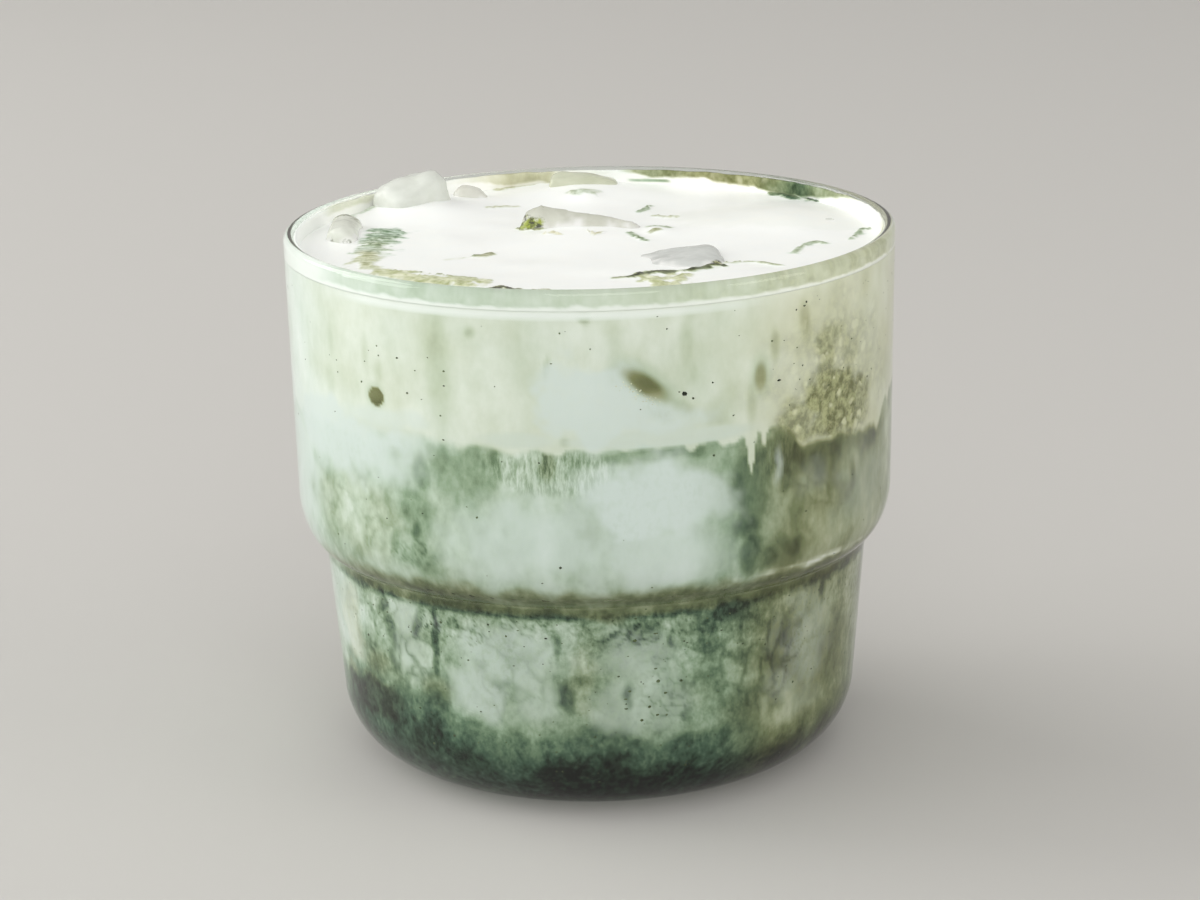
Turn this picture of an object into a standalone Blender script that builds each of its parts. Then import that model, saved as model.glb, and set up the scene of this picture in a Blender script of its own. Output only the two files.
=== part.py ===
"""Iced mugwort latte in a clear, stepped, stackable tumbler.

The tumbler is one turned wall: a wide upper tier with a rounded shoulder, a crisp step, and a
narrower lower tier with a well rounded foot. The drink fills it in three layers that were poured
one on another: dark mugwort at the bottom, a cloudy latte in the middle and pale milk on top.
Ice floats in the milk, which is cut round each piece that breaks its surface.

Metres, +Z up. The origin is the middle of the foot, on the surface that the tumbler stands on.
"""

import math
import random

import bmesh
import bpy
import numpy as np
from mathutils import Euler, Vector

# The tumbler, outside
HEIGHT = 0.0797
RIM_RADIUS = 0.0450
RIM_WALL = 0.0018
UPPER_FOOT_RADIUS = 0.0444
SHOULDER_TOP = 0.0414
SHOULDER_REACH = 0.0047
SHOULDER_DROP = 0.0083
SHOULDER_END_ANGLE = math.radians(77)
LOWER_TOP_RADIUS = 0.0407
LOWER_FOOT_RADIUS = 0.0388
FOOT_CORNER_HEIGHT = 0.0113
FOOT_RADIUS = 0.0272
PUNT_RADIUS = 0.0205
PUNT_DEPTH = 0.0008

# The tumbler, inside
WALL = 0.0020
FLOOR = 0.0035
STEP_FILLET = 0.0004
GLASS_STEPS = 64

# The drink
CLEARANCE = 0.0003
MUGWORT_TOP = 0.0122
LATTE_TOP = 0.0577
MILK_LEVEL = 0.0768
MENISCUS_RISE = 0.0008
MENISCUS_WIDTH = 0.0025
DRINK_STEPS = 64
SURFACE_RINGS = (0.22, 0.44, 0.63, 0.79, 0.91)

# Waves are sums of (turns round the glass, height at the wall, direction of the first crest)
MUGWORT_WAVES = ((1, 0.0040, -163), (3, 0.0012, -5), (5, 0.0007, 2))
LATTE_WAVES = ((2, 0.0005, 110), (5, 0.0004, 20), (9, 0.0002, 75))
MILK_RIPPLES = ((3, 0.00030, 15), (4, 0.00025, 65), (7, 0.00015, 40))

# Ice that breaks the surface: middle, size, turn in degrees about X, Y and Z, and seed
ICE_ROUNDING = 0.0026
ICE_UNEVENNESS = 0.0012
ICE_PIECES = {
    "ice_back_left": ((-0.0262, 0.0262, 0.0753), (0.0110, 0.0078, 0.0138), (3, -9, 39), 3),
    "ice_back_left_small": ((-0.0186, 0.0329, 0.0754), (0.0051, 0.0055, 0.0068), (9, 5, 31), 8),
    "ice_left": ((-0.0370, 0.0078, 0.0735), (0.0058, 0.0116, 0.0120), (6, 4, -5), 5),
    "ice_ridge": ((-0.0012, 0.0085, 0.0728), (0.0195, 0.0105, 0.0105), (42, 6, -14), 12),
    "ice_front": ((0.0128, -0.0136, 0.0708), (0.0125, 0.0130, 0.0130), (3, -2, 8), 4),
    "ice_back": ((-0.0012, 0.0393, 0.0737), (0.0112, 0.0046, 0.0116), (3, 3, 1), 6),
    "ice_right": ((0.0280, 0.0130, 0.0698), (0.0180, 0.0200, 0.0145), (1, -1, 25), 7),
}


def clear_scene():
    """Remove whatever the file starts with."""
    for thing in list(bpy.data.objects):
        bpy.data.objects.remove(thing, do_unlink=True)


def new_collection(name):
    """Make a collection in the scene."""
    collection = bpy.data.collections.new(name)
    bpy.context.scene.collection.children.link(collection)
    return collection


def principled(name, colour, roughness, transmission=0.0, ior=1.45):
    """Make a material with one Principled shader."""
    material = bpy.data.materials.new(name)
    material.use_nodes = True
    shader = material.node_tree.nodes["Principled BSDF"]
    shader.inputs["Base Color"].default_value = (*colour, 1.0)
    shader.inputs["Roughness"].default_value = roughness
    shader.inputs["Transmission Weight"].default_value = transmission
    shader.inputs["IOR"].default_value = ior
    material.diffuse_color = (*colour, 1.0)
    return material


def arc(centre, reach, drop, start, end, count):
    """Points of an ellipse's arc: angle 0 points outwards, a quarter turn points down."""
    angles = np.linspace(start, end, count)
    return [(centre[0] + reach * math.cos(a), centre[1] - drop * math.sin(a)) for a in angles]


def outer_profile():
    """The tumbler's outside, from the rim's outer edge down to the middle of the foot."""
    shoulder = (UPPER_FOOT_RADIUS - SHOULDER_REACH, SHOULDER_TOP)
    foot = (FOOT_RADIUS, FOOT_CORNER_HEIGHT)
    points = arc(shoulder, SHOULDER_REACH, SHOULDER_DROP, 0, SHOULDER_END_ANGLE, 8)
    points.append((LOWER_TOP_RADIUS, points[-1][1] - STEP_FILLET))
    points += arc(foot, LOWER_FOOT_RADIUS - FOOT_RADIUS, FOOT_CORNER_HEIGHT, 0, math.pi / 2, 9)
    points.append((PUNT_RADIUS, 0.0))
    points.append((PUNT_RADIUS - 2 * PUNT_DEPTH, PUNT_DEPTH))
    points.append((0.0, PUNT_DEPTH))
    return points


def cavity_profile(clearance):
    """The tumbler's inside, from the floor's edge up to the rim, moved in by the clearance."""
    shift = WALL + clearance
    foot = (FOOT_RADIUS, FOOT_CORNER_HEIGHT)
    foot_reach = LOWER_FOOT_RADIUS - FOOT_RADIUS - shift
    foot_drop = FOOT_CORNER_HEIGHT - FLOOR - clearance
    points = arc(foot, foot_reach, foot_drop, math.pi / 2, 0, 7)
    shoulder = (UPPER_FOOT_RADIUS - SHOULDER_REACH, SHOULDER_TOP)
    ledge_height = SHOULDER_TOP - SHOULDER_DROP + shift
    points.append((LOWER_TOP_RADIUS - shift, ledge_height - STEP_FILLET))
    points.append((LOWER_TOP_RADIUS - shift + STEP_FILLET, ledge_height))
    points += arc(shoulder, SHOULDER_REACH - shift, SHOULDER_DROP - shift, math.pi / 2, 0, 7)
    points.append((RIM_RADIUS - RIM_WALL - clearance, HEIGHT - RIM_WALL / 2))
    return points


def rim_profile():
    """The rounded rim, from its inner edge over the top to its outer edge."""
    centre = (RIM_RADIUS - RIM_WALL / 2, HEIGHT - RIM_WALL / 2)
    return arc(centre, RIM_WALL / 2, RIM_WALL / 2, -math.pi, 0, 7)


def wall_radius(height, clearance=CLEARANCE):
    """Radius of the drink's side at a height."""
    radii, heights = zip(*cavity_profile(clearance))
    return float(np.interp(height, heights, radii))


def turned(name, profile, steps):
    """Turn a profile of (radius, height) points round Z with a Screw modifier."""
    mesh = bpy.data.meshes.new(name)
    points = [(radius, 0.0, height) for radius, height in profile]
    mesh.from_pydata(points, [(i, i + 1) for i in range(len(points) - 1)], [])
    thing = bpy.data.objects.new(name, mesh)
    screw = thing.modifiers.new("Turn", "SCREW")
    screw.axis = "Z"
    screw.steps = steps
    screw.render_steps = steps
    screw.use_merge_vertices = True
    screw.merge_threshold = 0.00001
    screw.use_smooth_shade = True
    return thing


def as_mesh(thing):
    """Give an object the mesh that its modifiers make."""
    bpy.context.scene.collection.objects.link(thing)
    bpy.context.view_layer.update()
    evaluated = thing.evaluated_get(bpy.context.evaluated_depsgraph_get())
    thing.data = bpy.data.meshes.new_from_object(evaluated)
    thing.modifiers.clear()
    bpy.context.scene.collection.objects.unlink(thing)
    return thing


def layer_profile(bottom, top, bottom_waves, top_waves):
    """One layer's profile: out along its top, down the wall and back along its bottom.

    The points on the wall between the two surfaces stay clear of their waves.
    """
    lowest = bottom + wave_reach(bottom_waves)
    highest = top - wave_reach(top_waves)
    sides = [point for point in cavity_profile(CLEARANCE) if lowest < point[1] < highest]
    if bottom_waves:
        sides.insert(0, (wall_radius(lowest), lowest))
    top_radius = wall_radius(top)
    bottom_radius = wall_radius(bottom) if bottom_waves else FOOT_RADIUS
    profile = [(0.0, top)]
    profile += [(share * top_radius, top) for share in SURFACE_RINGS]
    profile.append((top_radius, top))
    profile += reversed(sides)
    profile.append((bottom_radius, bottom))
    if bottom_waves:
        profile += [(share * bottom_radius, bottom) for share in reversed(SURFACE_RINGS)]
    profile.append((0.0, bottom))
    return profile


def wave_reach(waves):
    """The most that a sum of waves rises or falls, with a little to spare."""
    return 1.1 * sum(size for count, size, crest in waves)


def wave_height(waves, x, y):
    """Height of a sum of waves that run round the glass and fade towards its middle."""
    turn = math.atan2(y, x)
    share = min(1.0, math.hypot(x, y) / wall_radius(MUGWORT_TOP))
    crests = (size * math.cos(count * (turn - math.radians(crest))) for count, size, crest in waves)
    return share * sum(crests)


def shape_surface(mesh, height, waves, meniscus=0.0):
    """Lift a flat surface at a height into waves, and its edge into a meniscus.

    The points on the wall follow the wall's slope as they move up or down.
    """
    edge = wall_radius(height)
    for vertex in mesh.vertices:
        x, y, z = vertex.co
        if abs(z - height) > 0.00001:
            continue
        radius = math.hypot(x, y)
        rise = wave_height(waves, x, y)
        rise += meniscus * math.exp((radius - edge) / MENISCUS_WIDTH)
        stretch = wall_radius(height + rise) / edge if radius > edge - CLEARANCE / 2 else 1.0
        vertex.co = (x * stretch, y * stretch, height + rise)


def make_glass(material):
    """The tumbler: one turned wall with a thick floor."""
    profile = [(0.0, FLOOR)] + cavity_profile(0.0)[:-1] + rim_profile() + outer_profile()
    glass = turned("glass", profile, GLASS_STEPS)
    glass.data.materials.append(material)
    return glass


def make_mugwort_layer(material):
    """The dark layer on the floor, with an uneven top."""
    bottom = FLOOR + CLEARANCE
    profile = layer_profile(bottom, MUGWORT_TOP, (), MUGWORT_WAVES)
    layer = as_mesh(turned("mugwort_layer", profile, DRINK_STEPS))
    shape_surface(layer.data, MUGWORT_TOP, MUGWORT_WAVES)
    layer.data.materials.append(material)
    return layer


def make_latte_layer(material):
    """The cloudy middle layer, from the dark one past the step to the milk."""
    bottom = MUGWORT_TOP + CLEARANCE
    profile = layer_profile(bottom, LATTE_TOP, MUGWORT_WAVES, LATTE_WAVES)
    layer = as_mesh(turned("latte_layer", profile, DRINK_STEPS))
    shape_surface(layer.data, bottom, MUGWORT_WAVES)
    shape_surface(layer.data, LATTE_TOP, LATTE_WAVES)
    layer.data.materials.append(material)
    return layer


def make_milk_layer(material, pockets):
    """The pale top layer, up to the level, with a pocket round each piece of ice."""
    bottom = LATTE_TOP + CLEARANCE
    profile = layer_profile(bottom, MILK_LEVEL, LATTE_WAVES, MILK_RIPPLES)
    layer = as_mesh(turned("milk_layer", profile, DRINK_STEPS))
    shape_surface(layer.data, bottom, LATTE_WAVES)
    shape_surface(layer.data, MILK_LEVEL, MILK_RIPPLES, MENISCUS_RISE)
    cut = layer.modifiers.new("Ice pockets", "BOOLEAN")
    cut.operation = "DIFFERENCE"
    cut.solver = "EXACT"
    cut.operand_type = "COLLECTION"
    cut.collection = pockets
    layer.data.materials.append(material)
    return layer


def ice_block(name, place, grow=0.0):
    """A melted ice block: an uneven box with rounded edges, tilted as it floats."""
    middle, size, turn, seed = place
    draw = random.Random(seed)
    mesh = bpy.data.meshes.new(name)
    form = bmesh.new()
    bmesh.ops.create_cube(form, size=1.0)
    for corner in form.verts:
        shift = [draw.uniform(-ICE_UNEVENNESS, ICE_UNEVENNESS) for _ in range(3)]
        half = [side / 2 + grow for side in size]
        corner.co = Vector(2 * c * h + s for c, h, s in zip(corner.co, half, shift))
    bmesh.ops.triangulate(form, faces=form.faces, quad_method="FIXED")
    bmesh.ops.bevel(
        form,
        geom=list(form.edges),
        offset=ICE_ROUNDING,
        segments=2,
        profile=0.6,
        affect="EDGES",
        clamp_overlap=True,
    )
    bmesh.ops.recalc_face_normals(form, faces=form.faces)
    form.to_mesh(mesh)
    form.free()
    mesh.shade_smooth()
    block = bpy.data.objects.new(name, mesh)
    block.location = middle
    block.rotation_euler = Euler([math.radians(angle) for angle in turn])
    return block


def make_ice(collection, pockets, material):
    """Every piece of ice, and the cutter of the pocket that it floats in."""
    for name, place in ICE_PIECES.items():
        block = ice_block(name, place)
        block.data.materials.append(material)
        collection.objects.link(block)
        pocket = ice_block(name + "_pocket", place, grow=CLEARANCE)
        pocket.hide_render = True
        pocket.display_type = "WIRE"
        pockets.objects.link(pocket)


def main():
    """Build the drink and its tumbler."""
    clear_scene()
    drink = new_collection("Mugwort latte")
    pockets = new_collection("Cutters")
    drink.objects.link(make_glass(principled("Clear glass", (0.95, 0.97, 0.96), 0.02, 1.0, 1.52)))
    make_ice(drink, pockets, principled("Ice", (0.80, 0.85, 0.83), 0.08, 0.8, 1.31))
    mugwort = principled("Mugwort", (0.035, 0.060, 0.035), 0.35)
    latte = principled("Mugwort latte", (0.42, 0.52, 0.40), 0.35)
    milk = principled("Milk", (0.85, 0.87, 0.80), 0.30)
    drink.objects.link(make_mugwort_layer(mugwort))
    drink.objects.link(make_latte_layer(latte))
    drink.objects.link(make_milk_layer(milk, pockets))


main()
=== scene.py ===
"""Looks of an iced mugwort latte in a clear, stepped, stackable tumbler.

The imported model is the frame. Its glass is replaced by a smooth turned wall, its three drink
layers by finely meshed bodies that reach just into that wall and carry the marbling, and its ice
by melted, wet blocks. Metres, +Z up, the origin in the middle of the tumbler's foot; the side
that is meant to be looked at faces -Y.
"""

from __future__ import annotations

import logging
import math
from dataclasses import dataclass, field
from enum import Enum

import bmesh
import bpy
import numpy as np
from mathutils import Matrix, Vector


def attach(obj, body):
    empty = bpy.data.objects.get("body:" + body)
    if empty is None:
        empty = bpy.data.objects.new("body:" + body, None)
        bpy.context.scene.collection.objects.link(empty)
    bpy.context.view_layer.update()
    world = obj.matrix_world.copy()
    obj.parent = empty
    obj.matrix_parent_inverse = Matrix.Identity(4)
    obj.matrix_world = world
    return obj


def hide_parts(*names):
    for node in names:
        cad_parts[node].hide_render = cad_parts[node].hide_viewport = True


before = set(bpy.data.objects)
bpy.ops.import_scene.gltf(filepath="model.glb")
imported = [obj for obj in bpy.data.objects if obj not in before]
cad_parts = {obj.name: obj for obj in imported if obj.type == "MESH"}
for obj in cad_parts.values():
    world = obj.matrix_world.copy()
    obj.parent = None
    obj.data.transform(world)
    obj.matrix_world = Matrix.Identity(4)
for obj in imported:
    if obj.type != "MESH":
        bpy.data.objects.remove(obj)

LOG = logging.getLogger("mugwort_latte")
MM = 0.001
Colour = tuple[float, float, float]
Linear = tuple[float, float, float, float]
Socket = bpy.types.NodeSocket
Stops = tuple[tuple[float, Linear], ...]
Span = tuple[float, float]
WHITE: Linear = (1.0, 1.0, 1.0, 1.0)
SOFT_WHITE: Colour = (1.0, 0.99, 0.97)


def srgb(red: float, green: float, blue: float) -> Linear:
    """Turn a 0-255 display colour into the linear colour that a shader takes.

    Args:
        red: Red, 0 to 255.
        green: Green, 0 to 255.
        blue: Blue, 0 to 255.

    Returns:
        The linear colour with full alpha.
    """
    parts = [((c / 255 + 0.055) / 1.055) ** 2.4 if c > 10.3 else c / 255 / 12.92 for c in (red, green, blue)]
    return (*parts, 1.0)


def smooth_step(value: np.ndarray, low: float, high: float) -> np.ndarray:
    """Ease from 0 at low to 1 at high, level at both ends (3t^2 - 2t^3)."""
    share = np.clip((value - low) / (high - low), 0.0, 1.0)
    return share * share * (3 - 2 * share)


# ---- Noise for shapes and for the marbling ----


AXIS_KEYS = (374761393, 668265263, 2147483647)
SEED_KEY = 974634777
MIX_KEY = 1274126177
LARGEST = 65535


def scramble(corners: np.ndarray, seed: int) -> np.ndarray:
    """Turn whole places into random numbers by mixing their bits, the same in each run.

    Args:
        corners: Places on a grid; the last axis has two or three whole numbers.
        seed: Which set of random numbers to read.

    Returns:
        Whole numbers from 0 to LARGEST.
    """
    key = corners @ np.array(AXIS_KEYS[: corners.shape[-1]]) + seed * SEED_KEY
    key = (key ^ (key >> 13)) * MIX_KEY & 0x7FFFFFFF
    return (key ^ (key >> 16)) & LARGEST


@dataclass(frozen=True)
class Noise:
    """Smooth noise in space, from about -1 to 1.

    Random values sit on the corners of a cubic lattice and are blended with a smooth step.
    Octaves of half the cell size and half the strength are added up.
    """

    cell: float
    seed: int
    octaves: int = 3
    stretch: tuple[float, float, float] = (1.0, 1.0, 1.0)

    def one_octave(self, places: np.ndarray, seed: int) -> np.ndarray:
        """Blend the random values of the eight corners round each place.

        Args:
            places: Points in cells, as rows of x, y, z.
            seed: Which set of random values to read.

        Returns:
            One value for each point.
        """
        corner = np.floor(places).astype(np.int64)
        part = places - corner
        part = part * part * (3 - 2 * part)
        total = np.zeros(len(places))
        for index in range(8):
            step = np.array([index & 1, (index >> 1) & 1, (index >> 2) & 1])
            weight = np.prod(np.where(step == 1, part, 1 - part), axis=1)
            total += weight * (scramble(corner + step, seed) / (LARGEST / 2) - 1)
        return total

    def at(self, points: np.ndarray) -> np.ndarray:
        """Read the noise.

        Args:
            points: Points in metres; the last axis is x, y, z.

        Returns:
            One value for each point, in the shape of the points without their last axis.
        """
        flat = points.reshape(-1, 3) / (self.cell * np.array(self.stretch))
        total = np.zeros(len(flat))
        for octave in range(self.octaves):
            total += self.one_octave(flat * 2**octave + 17.3 * octave, self.seed + octave) / 2**octave
        return total.reshape(points.shape[:-1])


@dataclass(frozen=True)
class Cells:
    """Rounded cells laid round the drink's side, like bubbles that press on each other.

    Each square of a grid of directions and heights holds one middle, placed at random, and each
    point belongs to the nearest middle. The grid closes on itself round the glass.
    """

    size: float
    seed: int
    tall: float = 1.2
    radius: float = 40.0

    def draw(self, column: np.ndarray, row: np.ndarray, offset: int) -> np.ndarray:
        """A random number from 0 to 1 for each square of the grid."""
        return scramble(np.stack([column, row], axis=-1), self.seed + offset) / LARGEST

    def at(self, turns: np.ndarray, heights: np.ndarray) -> tuple[np.ndarray, np.ndarray]:
        """Measure the cells.

        Args:
            turns: Directions in degrees.
            heights: Heights in millimetres.

        Returns:
            How far each point is from its cell's edge, 0 at the edge and about 1 in the middle,
            and its cell's own random number.
        """
        count = round(math.tau * self.radius / self.size)
        across, up = turns / 360 * count, heights / (self.size * self.tall)
        column, row = np.floor(across).astype(np.int64), np.floor(up).astype(np.int64)
        first, second = np.full(turns.shape, 9.0), np.full(turns.shape, 9.0)
        value = np.zeros(turns.shape)
        for step in range(9):
            near_column, near_row = column + step % 3 - 1, row + step // 3 - 1
            key = np.mod(near_column, count)
            away_across = near_column + self.draw(key, near_row, 0) - across
            away_up = near_row + self.draw(key, near_row, 1) - up
            far = np.hypot(away_across, away_up)
            value = np.where(far < first, self.draw(key, near_row, 2), value)
            second = np.minimum(second, np.maximum(first, far))
            first = np.minimum(first, far)
        return second - first, value


# ---- Meshes from arrays ----


def mesh_object(name: str, points: np.ndarray, faces: list[tuple[int, ...]]) -> bpy.types.Object:
    """Put points and faces into a new smooth object at the origin.

    Args:
        name: The object's name.
        points: Rows of x, y, z in metres.
        faces: Corner numbers of each face, counter-clockwise seen from outside.

    Returns:
        The new object, linked to the scene.
    """
    mesh = bpy.data.meshes.new(name)
    mesh.from_pydata(points.tolist(), [], faces)
    mesh.shade_smooth()
    thing = bpy.data.objects.new(name, mesh)
    bpy.context.scene.collection.objects.link(thing)
    return thing


def around(radii: np.ndarray, turns: np.ndarray, heights: np.ndarray) -> np.ndarray:
    """Points round Z: x and y from a radius and a direction in radians, z from a height."""
    return np.stack(np.broadcast_arrays(radii * np.cos(turns), radii * np.sin(turns), heights), axis=-1)


def ring_faces(rows: int, columns: int, looped: bool = False) -> list[tuple[int, ...]]:
    """Quads between closed rings of points, each ring lying outside or below the one before it.

    Args:
        rows: Number of rings.
        columns: Points in each ring, counter-clockwise seen from above.
        looped: Whether the last ring joins the first one.

    Returns:
        The quads, facing outwards where the rings run down the outside.
    """
    row, column = np.meshgrid(np.arange(rows - (not looped)), np.arange(columns), indexing="ij")
    across, below = (column + 1) % columns, (row + 1) % rows
    corners = [row * columns + column, below * columns + column]
    corners += [below * columns + across, row * columns + across]
    quads = np.stack([c.ravel() for c in corners], axis=1)
    return [tuple(quad) for quad in quads.tolist()]


def closed_body(name: str, rings: np.ndarray, top: Vector, bottom: Vector) -> bpy.types.Object:
    """Close a stack of rings with a fan to one point at the top and one at the bottom.

    The faces are the quads, then a triangle of the top's fan and one of the bottom's in turn.

    Args:
        name: The object's name.
        rings: Points as rings x columns x 3, from the top's middle out, down and back in.
        top: The top's middle point.
        bottom: The bottom's middle point.

    Returns:
        The new object.
    """
    rows, columns = rings.shape[:2]
    points = np.concatenate([rings.reshape(-1, 3), [tuple(top), tuple(bottom)]])
    faces = ring_faces(rows, columns)
    peak, last = rows * columns, (rows - 1) * columns
    column = np.arange(columns)
    across = (column + 1) % columns
    upper = np.stack([np.full(columns, peak), column, across], axis=1)
    lower = np.stack([np.full(columns, peak + 1), last + across, last + column], axis=1)
    fans = np.stack([upper, lower], axis=1).reshape(-1, 3)
    faces += [tuple(fan) for fan in fans.tolist()]
    return mesh_object(name, points, faces)


def set_attribute(thing: bpy.types.Object, name: str, values: np.ndarray) -> None:
    """Store one number for each point of a mesh, for its material to read."""
    layer = thing.data.attributes.new(name, "FLOAT", "POINT")
    layer.data.foreach_set("value", values.astype(np.float32))


def mesh_points(thing: bpy.types.Object) -> np.ndarray:
    """Read a mesh's points as rows of x, y, z."""
    points = np.empty(len(thing.data.vertices) * 3)
    thing.data.vertices.foreach_get("co", points)
    return points.reshape(-1, 3)


def arc(
    centre: tuple[float, float], reach: float, drop: float, start: float, end: float, count: int
) -> np.ndarray:
    """Points of an ellipse's arc: angle 0 points outwards and a quarter turn points down.

    Args:
        centre: Radius and height of the ellipse's middle.
        reach: Half its width.
        drop: Half its height.
        start: First angle in degrees.
        end: Last angle in degrees.
        count: Number of points.

    Returns:
        Rows of radius and height.
    """
    angles = np.radians(np.linspace(start, end, count))
    return np.column_stack([centre[0] + reach * np.cos(angles), centre[1] - drop * np.sin(angles)])


# ---- Shader graphs ----


class Graph:
    """A material's node tree, built with short calls."""

    def __init__(self, name: str) -> None:
        """Start a material with only its output."""
        self.material = bpy.data.materials.new(name)
        self.material.use_nodes = True
        self.tree = self.material.node_tree
        self.tree.nodes.clear()
        self.output = self.tree.nodes.new("ShaderNodeOutputMaterial")

    def add(
        self, kind: str, inputs: dict[str | int, object] | None = None, **settings: object
    ) -> bpy.types.Node:
        """Add a node, set its options, and set or link its inputs.

        Args:
            kind: The node's type without the word ShaderNode in front.
            inputs: Values or output sockets for its inputs, by name or number.
            settings: The node's own options.

        Returns:
            The node.
        """
        node = self.tree.nodes.new("ShaderNode" + kind)
        for option, value in settings.items():
            setattr(node, option, value)
        for key, value in (inputs or {}).items():
            if isinstance(value, Socket):
                self.tree.links.new(value, node.inputs[key])
            else:
                node.inputs[key].default_value = value
        return node

    def math(self, operation: str, *values: object, clamp: bool = False) -> Socket:
        """Add a Math node and return its result."""
        node = self.add("Math", dict(enumerate(values)), operation=operation, use_clamp=clamp)
        return node.outputs[0]

    def span(self, value: object, low: float, high: float, first: float, last: float) -> Socket:
        """Stretch the range from low to high over the one from first to last, held at its ends."""
        return self.add("MapRange", {0: value, 1: low, 2: high, 3: first, 4: last}).outputs[0]

    def swing(self, noise: object, strength: float) -> Socket:
        """Turn noise from 0 to 1 into a swing about 0."""
        return self.math("MULTIPLY", self.math("SUBTRACT", noise, 0.5), strength)

    def noise(self, cell: float, detail: float, stretch: float = 1.0, rough: float = 0.5) -> Socket:
        """Add noise on object coordinates.

        Args:
            cell: Size of its blobs in metres.
            detail: Octaves of finer noise.
            stretch: How many times taller than wide its blobs are.
            rough: Strength of each finer octave beside the last.

        Returns:
            The noise, from 0 to 1.
        """
        place = self.add("TexCoord").outputs["Object"]
        mapped = self.add("Mapping", {0: place, "Scale": (1.0, 1.0, 1.0 / stretch)}).outputs[0]
        settings = {"Vector": mapped, "Scale": 1.0 / cell, "Detail": detail, "Roughness": rough}
        return self.add("TexNoise", settings).outputs["Fac"]

    def ramp(self, factor: object, stops: Stops) -> Socket:
        """Add a colour ramp that blends evenly between its stops.

        Args:
            factor: Its input.
            stops: Places and colours, from low to high.

        Returns:
            The colour.
        """
        node = self.add("ValToRGB", {0: factor})
        elements = node.color_ramp.elements
        while len(elements) < len(stops):
            elements.new(0.5)
        for element, (place, colour) in zip(elements, stops):
            element.position = place
            element.color = colour
        return node.outputs[0]

    def mix(self, factor: object, first: object, second: object) -> Socket:
        """Add a colour mix and return its colour."""
        return self.add("Mix", {0: factor, 6: first, 7: second}, data_type="RGBA").outputs[2]

    def mask(self, name: str) -> Socket:
        """Read one of the mesh's stored numbers."""
        return self.add("Attribute", attribute_name=name).outputs["Fac"]

    def bump(self, height: object, strength: float, depth: float) -> Socket:
        """Add a bump of a depth in metres and return its normal."""
        return self.add("Bump", {"Height": height, "Strength": strength, "Distance": depth}).outputs[0]

    def surface(self, settings: dict[str, object]) -> Socket:
        """Add the main surface shader with its settings."""
        return self.add("BsdfPrincipled", settings).outputs[0]

    def finish(self, shader: Socket) -> bpy.types.Material:
        """Link the surface shader and return the material."""
        self.tree.links.new(shader, self.output.inputs["Surface"])
        return self.material


@dataclass(frozen=True)
class ClearGlass:
    """Polished soda glass that lets the lamps through to what it holds."""

    tint: Linear = srgb(246, 251, 248)
    shadow_tint: Linear = srgb(250, 252, 250)
    ior: float = 1.5

    def material(self) -> bpy.types.Material:
        """Build the glass: a clear dielectric, swapped for plain clearness on lamps' rays.

        Returns:
            The material.
        """
        graph = Graph("clear_glass")
        waviness = graph.noise(9 * MM, 1.0)
        settings = {
            "Base Color": self.tint,
            "Roughness": 0.0,
            "IOR": self.ior,
            "Transmission Weight": 1.0,
            "Normal": graph.bump(waviness, 0.10, 0.3 * MM),
        }
        glass = graph.surface(settings)
        clear = graph.add("BsdfTransparent", {0: self.shadow_tint}).outputs[0]
        lamp = graph.add("LightPath").outputs["Is Shadow Ray"]
        return graph.finish(graph.add("MixShader", {0: lamp, 1: glass, 2: clear}).outputs[0])


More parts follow.
